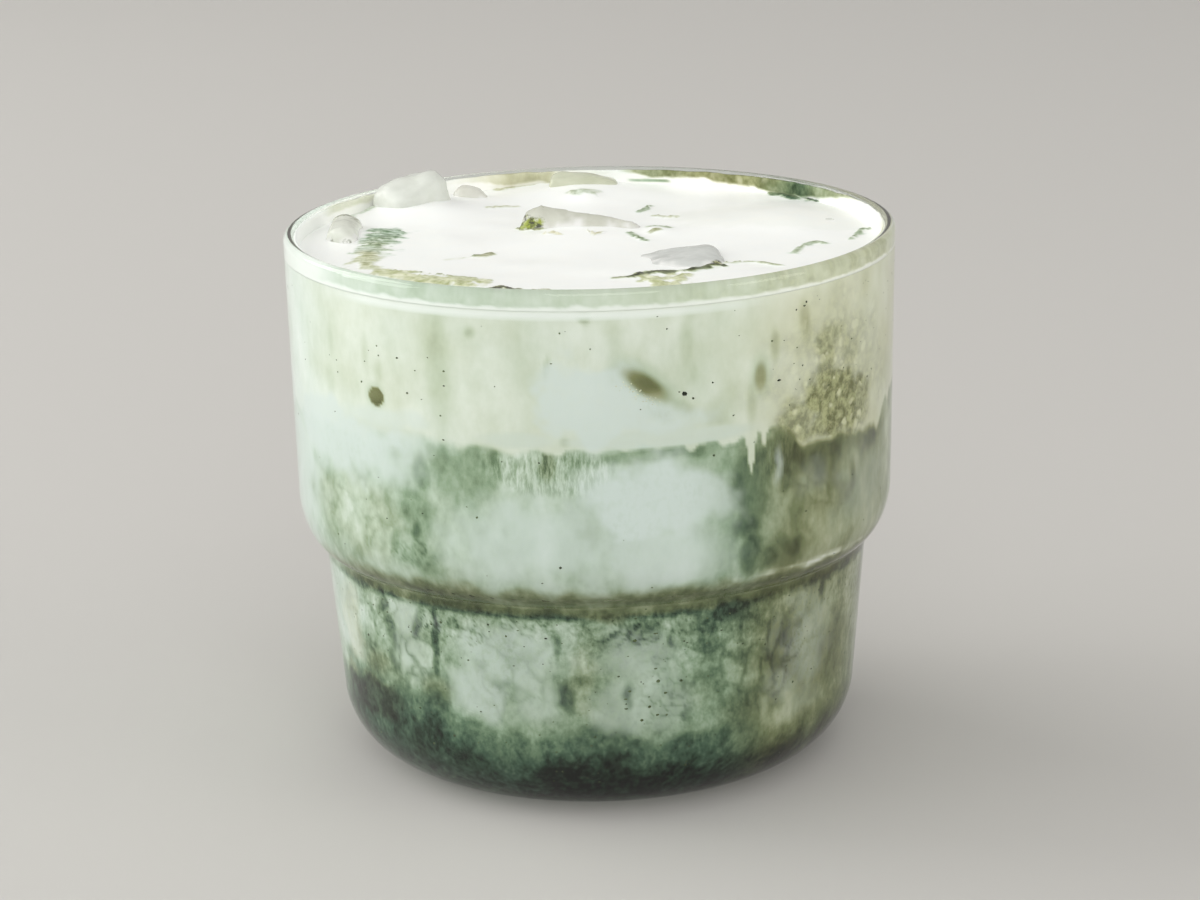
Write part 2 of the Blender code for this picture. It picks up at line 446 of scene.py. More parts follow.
@dataclass(frozen=True)
class DrinkFinish:
    """The marbled drink: a cool and a warm scale of colours from milk to steeped mugwort.

    The meshes carry how strong the mugwort is at each point, with painted shade and highlights
    on the side, how warm its green is, where ice shows pale through it, where green froth gathers,
    where fine streaks run down the wall and how speckled it is. The noise here breaks these up.
    """

    name: str
    roughness: float = 0.5
    gloss: float = 0.0
    cool: Stops = (
        (0.00, srgb(250, 252, 250)),
        (0.16, srgb(228, 236, 230)),
        (0.34, srgb(196, 212, 196)),
        (0.50, srgb(156, 179, 153)),
        (0.64, srgb(114, 140, 112)),
        (0.78, srgb(72, 99, 80)),
        (0.90, srgb(40, 60, 46)),
        (1.00, srgb(15, 22, 15)),
    )
    warm: Stops = (
        (0.00, srgb(253, 253, 248)),
        (0.16, srgb(243, 241, 226)),
        (0.34, srgb(219, 217, 190)),
        (0.50, srgb(181, 177, 141)),
        (0.64, srgb(134, 134, 88)),
        (0.78, srgb(92, 92, 52)),
        (0.90, srgb(54, 52, 28)),
        (1.00, srgb(22, 20, 10)),
    )
    icy: Linear = srgb(224, 232, 230)
    bubble: Linear = srgb(228, 227, 194)
    froth_pale: Linear = srgb(186, 187, 142)
    froth_deep: Linear = srgb(118, 120, 80)
    streak_swing: float = 0.34
    grain_swing: float = 0.55
    grain_everywhere: float = 0.12
    grain_where_speckled: float = 0.9
    vein: Linear = (0.30, 0.30, 0.30, 1.0)
    froth_relief: float = 0.4

    def material(self) -> bpy.types.Material:
        """Build the material.

        Strength, shifted by streaks and grain, picks a colour from each scale, and warm mixes
        the two. Pale ice and then froth are laid over that.

        Returns:
            The material.
        """
        graph = Graph(self.name)
        speckled, froth_share = graph.mask("speckled"), graph.mask("froth")
        streaks = graph.noise(2.0 * MM, 2.0, stretch=1.6)
        mottle = graph.noise(0.8 * MM, 3.0, stretch=1.3, rough=0.6)
        share = graph.math("MULTIPLY", speckled, self.grain_where_speckled)
        share = graph.math("ADD", share, self.grain_everywhere)
        grain = graph.math("MULTIPLY", graph.swing(mottle, self.grain_swing), share)
        shift = graph.math("ADD", graph.swing(streaks, self.streak_swing), grain)
        shift = graph.math("MULTIPLY", shift, graph.mask("marbled"))
        shift = graph.math("ADD", shift, self.trickles(graph))
        level = graph.math("ADD", graph.mask("strength"), shift, clamp=True)
        colour = graph.mix(graph.mask("warm"), graph.ramp(level, self.cool), graph.ramp(level, self.warm))
        veins = graph.mix(speckled, WHITE, graph.ramp(mottle, ((0.36, self.vein), (0.52, WHITE))))
        colour = graph.mix(graph.math("MULTIPLY", graph.mask("icy"), veins), colour, self.icy)
        colour = graph.mix(froth_share, colour, self.froth(graph))
        settings = {
            "Base Color": colour,
            "Roughness": self.roughness,
            "IOR": 1.35,
            "Specular IOR Level": self.gloss,
        }
        if self.gloss > 0:
            relief = graph.math("MULTIPLY", graph.noise(1.1 * MM, 3.0), froth_share)
            settings["Normal"] = graph.bump(relief, self.froth_relief, 0.4 * MM)
        return graph.finish(graph.surface(settings))

    def trickles(self, graph: Graph) -> Socket:
        """Fine dark and pale lines that run down the wall, where the mesh asks for them.

        Args:
            graph: The material's graph.

        Returns:
            What they add to the mugwort's strength.
        """
        lines = graph.noise(0.55 * MM, 3.0, stretch=4.5, rough=0.7)
        return graph.math("MULTIPLY", graph.span(lines, 0.40, 0.60, -0.10, 0.12), graph.mask("streaky"))

    def froth(self, graph: Graph) -> Socket:
        """Olive froth: pale round bubbles over a mottled green-brown body.

        Args:
            graph: The material's graph.

        Returns:
            Its colour.
        """
        place = graph.add("TexCoord").outputs["Object"]
        clots = graph.noise(1.3 * MM, 3.0, rough=0.65)
        body = graph.ramp(clots, ((0.36, self.froth_pale), (0.62, self.froth_deep)))
        eddies = {"Vector": place, "Scale": 1 / (2.2 * MM), "Detail": 2.0}
        swirl = graph.add("TexNoise", eddies).outputs["Color"]
        push = {0: swirl, 1: (1.4 * MM, 1.4 * MM, 1.4 * MM), 2: place}
        bent = graph.add("VectorMath", push, operation="MULTIPLY_ADD").outputs[0]
        cells = graph.add("TexVoronoi", {"Vector": bent, "Scale": 1 / (1.9 * MM)})
        pick = graph.add("SeparateColor", {0: cells.outputs["Color"]}).outputs[2]
        size = graph.math("ADD", graph.math("MULTIPLY", pick, 0.40), 0.16)
        inside = graph.math("SUBTRACT", size, cells.outputs["Distance"])
        soft = graph.math("MULTIPLY", inside, 5.0, clamp=True)
        where = graph.span(graph.noise(3.2 * MM, 2.0), 0.42, 0.56, 0.10, 0.80)
        return graph.mix(graph.math("MULTIPLY", soft, where), body, self.bubble)


SURFACE_FROTH = {
    "bubble": srgb(246, 248, 222),
    "froth_pale": srgb(226, 231, 196),
    "froth_deep": srgb(172, 180, 124),
}


@dataclass(frozen=True)
class FleckFinish:
    """Specks at the wall: cream dots of painted highlight, and bits of mugwort leaf from olive to nearly
    black.
    """

    # Only the painted highlight dots reach this cream.
    cream: Linear = srgb(240, 238, 214)
    olive: Linear = srgb(108, 122, 82)
    dark: Linear = srgb(32, 41, 26)

    def material(self) -> bpy.types.Material:
        """Build the material, whose shade each fleck carries."""
        graph = Graph("leaf_fleck")
        stops = ((0.0, self.cream), (0.5, self.olive), (1.0, self.dark))
        colour = graph.ramp(graph.mask("shade"), stops)
        settings = {"Base Color": colour, "Roughness": 0.7, "Specular IOR Level": 0.0}
        return graph.finish(graph.surface(settings))


@dataclass(frozen=True)
class IceFinish:
    """Wet ice, clouded and dimmed by the milk that it stands in."""

    name: str = "wet_ice"
    bare: Linear = srgb(218, 222, 215)
    clouded: Linear = srgb(236, 238, 230)
    milky: Linear = srgb(252, 252, 249)
    stain_pale: Linear = srgb(176, 176, 92)
    stain_deep: Linear = srgb(52, 56, 26)

    def material(self) -> bpy.types.Material:
        """Build the ice: cloudy grey above, white at its foot, green where froth clings to it.

        Returns:
            The material.
        """
        graph = Graph(self.name)
        cloud = graph.noise(5 * MM, 4.0, rough=0.6)
        body = graph.ramp(cloud, ((0.35, self.bare), (0.65, self.clouded)))
        ripple = graph.noise(2.5 * MM, 2.0)
        clots = graph.noise(0.9 * MM, 3.0, rough=0.65)
        green = graph.ramp(clots, ((0.42, self.stain_pale), (0.58, self.stain_deep)))
        clinging = graph.math("ADD", graph.mask("stain"), graph.swing(clots, 0.9))
        share = graph.span(clinging, 0.30, 0.55, 0.0, 0.92)
        colour = graph.mix(graph.mask("milky"), body, self.milky)
        settings = {
            "Base Color": graph.mix(share, colour, green),
            "Roughness": 0.12,
            "IOR": 1.31,
            "Transmission Weight": 0.2,
            "Normal": graph.bump(ripple, 0.35, 0.5 * MM),
        }
        return graph.finish(graph.surface(settings))


# ---- The tumbler ----


@dataclass
class Tumbler:
    """The clear tumbler: a wide tier with a rounded shoulder over a narrower, round-footed one."""

    height: float = 79.7 * MM
    rim_radius: float = 45.0 * MM
    rim_wall: float = 1.8 * MM
    upper_foot_radius: float = 44.4 * MM
    shoulder_top: float = 41.4 * MM
    shoulder_reach: float = 4.7 * MM
    shoulder_drop: float = 8.3 * MM
    shoulder_end: float = 77.0
    lower_top_radius: float = 40.7 * MM
    lower_foot_radius: float = 38.8 * MM
    foot_corner: float = 11.3 * MM
    foot_radius: float = 27.2 * MM
    punt_radius: float = 20.5 * MM
    punt_depth: float = 0.8 * MM
    wall: float = 2.0 * MM
    floor: float = 3.5 * MM
    fillet: float = 0.4 * MM
    columns: int = 256

    def outside(self) -> np.ndarray:
        """The outside from below the rim to the foot's edge, as rows of radius and height."""
        shoulder = (self.upper_foot_radius - self.shoulder_reach, self.shoulder_top)
        upper = arc(shoulder, self.shoulder_reach, self.shoulder_drop, 0, self.shoulder_end, 28)
        step = [[self.lower_top_radius, upper[-1][1] - self.fillet]]
        reach = self.lower_foot_radius - self.foot_radius
        foot = arc((self.foot_radius, self.foot_corner), reach, self.foot_corner, 0, 90, 28)
        return np.concatenate([upper, step, foot])

    def cavity(self, inset: float = 0.0) -> np.ndarray:
        """The inside from the floor's edge up to the rim, as rows of radius and height.

        Args:
            inset: How far inside the wall the line runs; below 0 it runs in the glass.

        Returns:
            Rows of radius and height.
        """
        shift = self.wall + inset
        reach = self.lower_foot_radius - self.foot_radius - shift
        drop = self.foot_corner - self.floor - inset
        foot = arc((self.foot_radius, self.foot_corner), reach, drop, 90, 0, 24)
        ledge = self.shoulder_top - self.shoulder_drop + shift
        inner = self.lower_top_radius - shift
        turn = arc((inner + self.fillet, ledge - self.fillet), self.fillet, self.fillet, -180, -90, 5)
        shoulder = (self.upper_foot_radius - self.shoulder_reach, self.shoulder_top)
        upper = arc(shoulder, self.shoulder_reach - shift, self.shoulder_drop - shift, 90, 0, 20)
        top = [[self.rim_radius - self.rim_wall - inset, self.height - self.rim_wall / 2]]
        return np.concatenate([foot, turn, upper, top])

    def wall_radius(self, heights: np.ndarray, inset: float = 0.0) -> np.ndarray:
        """Radius of the inside at some heights."""
        line = self.cavity(inset)
        return np.interp(heights, line[:, 1], line[:, 0])

    def profile(self) -> np.ndarray:
        """The whole section, from the floor's middle round the rim to the foot's middle."""
        half = self.rim_wall / 2
        rim = arc((self.rim_radius - half, self.height - half), half, half, -180, 0, 17)
        slope = self.punt_radius - 3 * self.punt_depth
        punt = [[self.punt_radius, 0.0], [slope, self.punt_depth]]
        return np.concatenate([self.cavity()[:-1], rim, self.outside(), punt])

    def build(self) -> bpy.types.Object:
        """Turn the section round Z and stand it for the CAD glass.

        Returns:
            The glass.
        """
        section = self.profile()
        turns = np.arange(self.columns) * math.tau / self.columns
        rings = around(section[:, :1], turns, section[:, 1:])
        glass = closed_body("tumbler", rings, Vector((0, 0, self.floor)), Vector((0, 0, self.punt_depth)))
        glass.data.materials.append(ClearGlass().material())
        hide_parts("glass")
        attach(glass, "root")
        return glass


# ---- The drink ----


@dataclass(frozen=True)
class Patch:
    """A soft patch on the drink's side.

    Its middle is a direction in degrees and a height in millimetres, and its half sizes are in
    the same units. Tilt is how many millimetres it climbs for each degree to the right.
    """

    turn: float
    height: float
    half_turn: float
    half_height: float
    strength: float
    edge: float = 0.45
    tilt: float = 0.0

    def cover(self, turns: np.ndarray, heights: np.ndarray, ragged: np.ndarray) -> np.ndarray:
        """How much of the patch lies at each point.

        The distance from its middle, as a share of its half sizes and pushed about by noise,
        falls from full to none over the soft edge.

        Args:
            turns: Directions round the glass in degrees.
            heights: Heights in millimetres.
            ragged: Noise that roughens the outline.

        Returns:
            0 to the patch's strength.
        """
        across = (turns - self.turn + 180) % 360 - 180
        rise = heights - self.height - across * self.tilt
        far = np.hypot(across / self.half_turn, rise / self.half_height)
        return self.strength * (1 - smooth_step(far + ragged, 1 - self.edge, 1 + self.edge))


def patches(*rows: tuple[float, ...]) -> tuple[Patch, ...]:
    """Patches from rows of turn, height, half turn, half height, strength, edge and tilt."""
    return tuple(Patch(*row) for row in rows)


def strongest(
    spread: tuple[Patch, ...], turns: np.ndarray, heights: np.ndarray, ragged: np.ndarray
) -> np.ndarray:
    """Find the strongest of several patches at each point.

    Args:
        spread: The patches.
        turns: Directions in degrees.
        heights: Heights in millimetres.
        ragged: Noise that roughens the outlines.

    Returns:
        0 to the strength of the strongest patch there.
    """
    total = np.zeros(turns.shape)
    for patch in spread:
        total = np.maximum(total, patch.cover(turns, heights, ragged))
    return total


@dataclass
class Site:
    """Where points lie on the drink's side, and the noise there.

    Turns are in degrees and heights in millimetres. Near is the direction mirrored to the near
    side, pushed is the place shoved about by noise, and right and far left fade in to 1 there.
    """

    turns: np.ndarray
    heights: np.ndarray
    back: np.ndarray
    near: np.ndarray
    pushed_turns: np.ndarray
    pushed: np.ndarray
    streaks: np.ndarray
    blots: np.ndarray
    edges: np.ndarray
    drips: np.ndarray
    grooves: np.ndarray
    right: np.ndarray
    far_left: np.ndarray


class Layer(Enum):
    """The drink's layers, each with the CAD node that it stands for."""

    MUGWORT = "mugwort_layer"
    LATTE = "latte_layer"
    MILK = "milk_layer"


@dataclass
class Marbling:
    """Where the drink is strong, pale, frothy or speckled on its side.

    Directions are in degrees, with -90 at the front and 0 at the right of it. The far
    side repeats the near side's patches, mirrored, drawn apart and broken up in its own way.
    """

    mugwort_top: float = 12.2 * MM
    mugwort_waves: tuple = ((1, 4.0 * MM, -163), (3, 1.2 * MM, -5), (5, 0.7 * MM, 2))
    latte_top: float = 57.7 * MM
    latte_waves: tuple = ((2, 0.5 * MM, 110), (5, 0.4 * MM, 20), (9, 0.2 * MM, 75))
    pale: tuple[Patch, ...] = patches(
        (-146, 54.0, 21, 4.6, 0.90), (-168, 47.0, 13, 11.0, 0.75), (-78, 48.5, 13.5, 6.4, 0.95, 0.35),
        (-78, 41.5, 12.5, 5.5, 0.70, 0.5), (-99, 43.5, 20, 6.2, 0.62, 0.5),
        (-90, 63.6, 10, 6.4, 0.85, 0.22), (-80, 60.6, 11, 2.2, 0.80, 0.4),
        (-152, 57.0, 9, 3.4, 0.80, 0.3), (-133, 59.2, 9, 1.6, 0.55), (-161, 26.0, 11, 7.0, 0.42),
        (-135, 25.0, 4.6, 6.0, 0.45, 0.6), (-126.3, 29.0, 1.6, 1.3, 0.70, 0.5),
        (-117, 19.5, 6.5, 4.5, 0.62), (-110, 25.0, 12, 4.4, 0.58), (-104, 18.5, 7, 3.6, 0.35, 0.6),
        (-82, 25.5, 8, 4.0, 0.42), (-86, 17.5, 6, 4.2, 0.34), (-77, 19.0, 7, 5.5, 0.34),
        (-40, 23.0, 8, 7.0, 0.34, 0.7), (-40, 13.5, 6, 3.0, 0.16, 0.7), (-47, 17.0, 5, 3.0, 0.30, 0.8),
        (-53.4, 52.2, 0.9, 2.0, 0.55, 0.6), (-27, 45.5, 10, 6.0, 0.26, 0.7),
        (-45, 49.0, 3.5, 2.6, 0.22, 0.7),
    )
    deep: tuple[Patch, ...] = patches(
        (-151.0, 13.5, 12.0, 3.6, 0.20, 0.5), (-113, 54.8, 2.8, 3.0, 0.15, 0.5),
        (-119.5, 54.4, 3.2, 2.2, 0.19, 0.4), (-124.2, 51.8, 2.2, 2.6, 0.22, 0.5),
        (-116, 52.5, 7.5, 4.8, 0.13, 0.5), (-125.5, 45.5, 5.0, 5.5, 0.13, 0.6),
        (-125.8, 43.8, 1.3, 2.0, 0.36, 0.6), (-127.3, 49.0, 2.2, 1.0, 0.20, 0.7),
        (-124.0, 39.5, 4.5, 2.4, 0.20, 0.6), (-139, 43.5, 1.6, 1.8, 0.14, 0.7),
        (-131.2, 41.7, 1.6, 1.8, 0.16, 0.7), (-138.4, 40.0, 1.2, 1.5, 0.12, 0.7),
        (-148.5, 40.0, 2.2, 3.2, 0.09, 0.7), (-142, 38.4, 2.0, 1.2, 0.14, 0.7),
        (-155, 50.5, 2.6, 1.6, 0.10, 0.7), (-107.6, 54.4, 1.0, 3.2, 0.22, 0.6),
        (-98.6, 55.0, 1.6, 2.2, 0.22, 0.5, 0.1), (-78, 55.9, 16, 1.1, 0.13, 0.5, 0.03),
        (-62.2, 51.0, 3.6, 4.0, 0.24, 0.55), (-57.5, 52.2, 3.0, 4.6, 0.24, 0.5),
        (-59.5, 48.0, 4.2, 3.6, 0.24, 0.5), (-54.8, 53.6, 1.6, 2.6, 0.14, 0.6),
        (-52.0, 50.8, 1.3, 2.6, 0.14, 0.7), (-61.5, 44.5, 3.6, 2.8, 0.26, 0.6),
        (-66.5, 44.0, 4.0, 8.0, 0.14, 0.8), (-65.5, 53.0, 3.0, 3.2, 0.12, 0.7),
        (-60.5, 40.5, 2.4, 3.8, 0.28, 0.6), (-56.5, 38.6, 2.6, 1.5, 0.20, 0.7),
        (-51.0, 39.8, 3.0, 1.6, 0.14, 0.7), (-49.5, 44.0, 1.2, 4.0, 0.08, 0.7),
        (-40, 52.6, 10, 2.4, 0.12, 0.8, 0.02), (-26, 52.3, 6, 1.8, 0.12, 0.8),
        (-44.5, 51.6, 3.2, 2.6, 0.14, 0.7), (-32.5, 47.0, 1.2, 2.2, 0.14, 0.7),
        (-147.5, 21.0, 3.5, 4.5, 0.10, 0.8), (-140.5, 26.5, 1.5, 6.5, 0.22, 0.6),
        (-131.6, 28.0, 1.0, 2.4, 0.22, 0.6), (-127.0, 25.5, 1.0, 6.2, 0.34, 0.45),
        (-127.5, 18.5, 4.5, 2.6, 0.24, 0.7), (-98.5, 27.0, 0.9, 2.2, 0.28, 0.6),
        (-96.3, 19.0, 1.6, 2.6, 0.30, 0.6), (-94.2, 22.0, 2.0, 0.8, 0.14, 0.7),
        (-97.5, 22.5, 1.4, 7.0, 0.12, 0.6), (-68, 27.0, 2.0, 2.4, 0.18, 0.7),
        (-75.5, 27.2, 0.9, 1.5, 0.26, 0.6), (-84.3, 19.0, 0.9, 1.6, 0.26, 0.7),
        (-71.0, 15.0, 1.4, 1.0, 0.20, 0.7), (-62.0, 30.4, 5.4, 1.6, 0.34, 0.8),
        (-57.0, 27.6, 3.4, 2.8, 0.20, 0.8), (-63.0, 19.5, 1.8, 4.5, 0.16, 0.7),
        (-50.0, 20.8, 1.8, 1.4, 0.07, 0.7), (-47.6, 23.8, 1.8, 1.3, 0.08, 0.7),
        (-48.5, 14.5, 2.0, 2.0, 0.14, 0.7), (-34.9, 30.2, 1.0, 2.0, 0.24, 0.6),
        (-30.0, 18.0, 2.5, 1.6, 0.12, 0.7), (-151.0, 13.6, 12, 2.9, 0.40, 0.4),
        (-158.5, 17.0, 5, 2.2, 0.26, 0.5), (-59.0, 21.0, 9, 8.5, 0.08, 0.6),
        (-74.5, 21.5, 5.5, 10.0, 0.08, 0.8), (-82.0, 29.6, 11, 2.4, 0.08, 0.7),
        (-95.0, 13.8, 5, 2.6, 0.14, 0.7), (-65.5, 25.5, 4.0, 6.5, 0.17, 0.7),
        (-27.0, 22.0, 4, 7.0, 0.10, 0.7),
    )
    drifts: tuple[Patch, ...] = patches(
        (-119.0, 67.5, 2.6, 9.0, 0.12, 0.7), (-136.2, 68.5, 0.8, 3.2, 0.10, 0.8),
        (-146.6, 68.5, 0.9, 2.0, 0.08, 0.8), (-112.3, 73.2, 1.1, 0.8, 0.18, 0.7),
        (-91.3, 75.7, 1.1, 0.8, 0.28, 0.6), (-98.2, 68.6, 0.7, 1.5, 0.18, 0.6, 1.1),
        (-102.0, 69.0, 2.6, 6.0, 0.09, 0.8), (-86.0, 72.6, 1.4, 2.6, 0.10, 0.8),
        (-75.6, 69.6, 1.0, 2.6, 0.08, 0.8), (-73.0, 70.8, 1.3, 3.6, 0.12, 0.7),
        (-71.5, 66.9, 0.8, 1.6, 0.12, 0.8), (-54.8, 69.2, 0.9, 2.2, 0.18, 0.7),
        (-47.6, 71.8, 1.3, 2.6, 0.14, 0.7, -0.8), (-60.0, 62.0, 0.9, 2.8, 0.14, 0.8),
        (-64.5, 62.0, 2.6, 3.0, 0.08, 0.8), (-132.8, 66.0, 0.9, 1.3, 0.10, 0.8),
        (-147.5, 63.0, 1.6, 2.0, 0.08, 0.7), (-78.0, 61.9, 2.4, 1.3, 0.22, 0.7, -0.35),
        (-73.6, 62.4, 2.4, 1.4, 0.16, 0.7, -0.35), (-86.0, 67.6, 1.6, 1.6, 0.20, 0.7),
        (-95.2, 58.2, 0.9, 0.6, 0.24, 0.6), (-15.0, 60.0, 3.0, 2.4, 0.10, 0.8),
        (-66.5, 60.4, 3.6, 2.4, 0.10, 0.8), (-74.5, 63.8, 4.0, 2.6, 0.07, 0.8),
        (-85.0, 69.0, 6.0, 2.6, 0.05, 0.8), (-75.0, 66.0, 5.5, 4.6, 0.08, 0.8),
    )
    froth: tuple[Patch, ...] = patches(
        (-38.5, 59.8, 10.0, 6.0, 1.0, 0.4), (-48.5, 57.6, 7.0, 3.2, 0.80, 0.45),
        (-43.0, 55.6, 7.0, 3.6, 0.90, 0.5), (-41.5, 65.5, 4.0, 5.0, 0.80, 0.55),
        (-34.5, 65.0, 4.4, 4.0, 0.60, 0.6), (-30.0, 57.3, 5.0, 3.0, 0.85, 0.5),
        (-40.0, 69.2, 4.4, 1.8, 0.70, 0.7), (-50.5, 60.2, 3.4, 1.5, 0.55, 0.6),
        (-38.0, 62.0, 16, 10.0, 0.40, 0.6),
    )
    spots: tuple[Patch, ...] = patches(
        (-133.7, 62.2, 1.85, 1.35, 1.0, 0.12), (-80.6, 66.0, 4.1, 1.65, 1.0, 0.42, -0.42),
        (-58.0, 65.2, 1.30, 2.0, 0.90, 0.50),
    )
    halos: tuple[Patch, ...] = patches(
        (-133.7, 62.2, 2.6, 1.9, 0.5, 0.3), (-80.4, 66.1, 5.8, 2.8, 1.0, 0.45, -0.42),
        (-76.0, 63.0, 3.0, 1.5, 0.7, 0.5, -0.3), (-58.0, 65.6, 2.3, 2.9, 0.7, 0.5),
    )
    foam: tuple[Patch, ...] = patches(
        (-140, 25.0, 17, 7.5, 1.0, 0.4), (-103, 22.0, 15, 7.0, 0.60, 0.6),
        (-54, 22.0, 18, 8.5, 0.7, 0.5), (-140, 44.0, 13, 6.5, 0.55, 0.5),
        (-50, 44.0, 12, 6.0, 0.45, 0.5), (-122, 12.0, 30, 5.0, 0.35, 0.5),
    )
    fizz: tuple[Patch, ...] = patches(
        (-121.0, 28.6, 8.0, 2.8, 1.0, 0.6), (-128.5, 29.0, 1.8, 3.0, 1.0, 0.6),
        (-104.0, 29.8, 10.0, 1.7, 0.9, 0.6), (-84.0, 29.4, 10.0, 2.0, 1.0, 0.6),
        (-71.0, 29.6, 7.0, 1.8, 0.8, 0.6), (-74.0, 20.0, 8.0, 7.0, 0.55, 0.7),
        (-126.0, 40.0, 6.0, 2.4, 0.6, 0.5),
    )
    lip: tuple[Patch, ...] = patches(
        (-78.0, 58.2, 18, 1.3, 0.90, 0.22), (-104.0, 58.3, 7, 1.1, 0.75, 0.35),
        (-134.0, 57.0, 11, 1.6, 0.70, 0.35),
    )
    yellow: tuple[Patch, ...] = patches(
        (-93.0, 21.5, 3.2, 6.5, 0.30, 0.7), (-147.0, 19.0, 4.5, 2.6, 0.35, 0.7),
        (-125.0, 46.0, 5.0, 9.0, 0.10, 0.6), (-88.0, 33.5, 4.0, 2.5, 0.8, 0.6),
        (-152.0, 13.5, 14, 3.4, 0.70, 0.4), (-128.0, 18.0, 5.0, 2.6, 0.35, 0.6),
        (-143.0, 44.0, 16, 7.0, 0.28, 0.6), (-98.5, 55.0, 1.6, 2.6, 0.30, 0.5),
        (-157.0, 25.0, 6, 6.0, 0.70, 0.5),
    )
    trickle: tuple[Patch, ...] = patches(
        (-98.0, 53.8, 11.5, 3.4, 1.0, 0.25), (-54.0, 53.0, 5.0, 3.5, 0.35, 0.6),
    )
    settled: tuple = (
        (-180, 13.0), (-168, 14.5), (-160, 16.3), (-150, 17.0), (-142, 16.6), (-134, 17.8),
        (-128, 18.3), (-121, 15.8), (-113, 14.2), (-105, 13.0), (-98, 13.6), (-93, 15.0),
        (-88, 13.6), (-80, 12.8), (-70, 12.2), (-60, 12.4), (-48, 12.2), (-38, 11.4), (0, 10.8),
    )
    shelf_low: float = 31.7
    shelf_high: float = 35.8
    # Painted highlight along the step's shoulder at the right: its height, width, how much it pales the side
    # and where it ends.
    painted_gleam_height: float = 36.4
    painted_gleam_width: float = 0.34
    painted_gleam_tone: float = 0.50
    painted_gleam_end: Span = (-34, -20)
    # Painted shade: a crisp dark line just under the foot of the band over the step, where the glass steps
    # in.
    crease_shade_below: float = 0.30
    crease_shade_width: float = 0.55
    drawn_apart: float = 22.0
    shove_turn: float = 1.3
    shove_height: float = 0.8
    roughness: float = 0.30
    right_side: Span = (-66, -48)
    left_side: Span = (-166, -142)
    drip_length: float = 1.6
    falls: tuple = ((-60.0, 0.85, 1.0), (-57.2, 0.7, 0.45))
    fall_length: float = 5.4
    border_drop: float = 0.9
    border_ragged: float = 0.5
    border_soft: float = 0.35
    border_softer_left: float = 0.40
    border_softer_dip: float = 0.45
    border_softer_fall: float = 0.35
    soft_left: Span = (-110, -96)
    dip: float = 3.0
    dip_start: Span = (-54, -47)
    dip_end: Span = (-24, -12)
    # Painted highlight: a thin white line under the milk's level, with its rise, its end and its share by
    # direction.
    painted_highlight_rise: Span = (75.3, 75.7)
    painted_highlight_end: Span = (76.2, 76.6)
    painted_highlight_line: tuple = (
        (-180, 0.0), (-145, 0.0), (-135, 1.0), (-78, 1.0), (-66, 0.5), (-56, 0.0), (180, 0.0),
    )
    milk_base: float = 0.205
    latte_base: float = 0.375
    settled_base: float = 0.70
    settled_below: float = 1.8
    settled_above: float = 1.4
    darker_from: float = 7.5
    darker_to: float = 1.5
    settled_left: Span = (-120, -104)
    shelf_base: float = 0.61
    lower_tier: Span = (28, 36)
    # How dark the painted shade along the band's foot is.
    crease_shade_tone: float = 0.86
    halo_tone: float = 0.37
    lip_tone: float = 0.27
    spot_tone: float = 0.60
    spot_left: float = -120.0
    spot_deeper_left: float = 0.18
    milk_warmth: float = 0.42
    latte_warmth: float = 0.12
    shelf_warmth: float = 0.62
    spot_warmth: float = 0.90
    halo_warmth: float = 0.30
    olive_end: Span = (-26, -4)
    step_specks: tuple[Span, Span] = ((20, 31), (31.5, 32.5))
    lower_specks: Span = (30, 34)
    upper_specks: Span = (59, 62)
    streak_noise: Noise = Noise(3.4 * MM, 11, 4, (1.0, 1.0, 3.0))
    blot_noise: Noise = Noise(6.5 * MM, 23, 3)
    edge_noise: Noise = Noise(3.0 * MM, 37, 3)
    shove_noise: Noise = Noise(5.0 * MM, 43, 3)
    drip_noise: Noise = Noise(2.2 * MM, 41, 2, (1.0, 1.0, 40.0))
    groove_noise: Noise = Noise(1.7 * MM, 47, 2, (1.0, 1.0, 30.0))
    large_cells: Cells = Cells(3.8, 61, 1.4)
    small_cells: Cells = Cells(1.9, 67, 0.9)
    foam_vein: float = 0.15
    foam_pale: float = 0.10
    fizz_vein: float = 0.40
    fizz_tint: float = 0.15

    def wave(self, waves: tuple, turns: np.ndarray) -> np.ndarray:
        """Height of a sum of waves round the glass, at directions in degrees."""
        crests = [size * np.cos(count * np.radians(turns - crest)) for count, size, crest in waves]
        return sum(crests)

    def site(self, points: np.ndarray) -> Site:
        """Find where some points lie on the side, and the noise there.

        The far side is mirrored to the near one and drawn apart towards its middle.

        Args:
            points: Rows of x, y, z.

        Returns:
            The points' site.
        """
        turns = np.degrees(np.arctan2(points[:, 1], points[:, 0]))
        heights = points[:, 2] / MM
        back = turns > 0
        near = np.where(back, -turns - self.drawn_apart * np.sin(np.radians(turns)), turns)
        sideways = self.shove_noise.at(points) * (1 + back)
        upwards = self.shove_noise.at(points[:, [2, 0, 1]]) * (1 + back)
        return Site(
            turns=turns,
            heights=heights,
            back=back,
            near=near,
            pushed_turns=near + self.shove_turn * sideways,
            pushed=heights + self.shove_height * upwards,
            streaks=self.streak_noise.at(points),
            blots=self.blot_noise.at(points),
            edges=self.edge_noise.at(points),
            drips=self.drip_noise.at(points),
            grooves=self.groove_noise.at(points),
            right=smooth_step(near, *self.right_side),
            far_left=1 - smooth_step(near, *self.left_side),
        )

    def pushed_cover(self, spread: tuple[Patch, ...], site: Site) -> np.ndarray:
        """Cover of patches that the noise shoves about."""
        return strongest(spread, site.pushed_turns, site.pushed, self.roughness * site.edges)

    def still_cover(self, spread: tuple[Patch, ...], site: Site, share: float) -> np.ndarray:
        """Cover of patches that stay in place, with a share of the usual rough edge."""
        return strongest(spread, site.near, site.heights, share * self.roughness * site.edges)

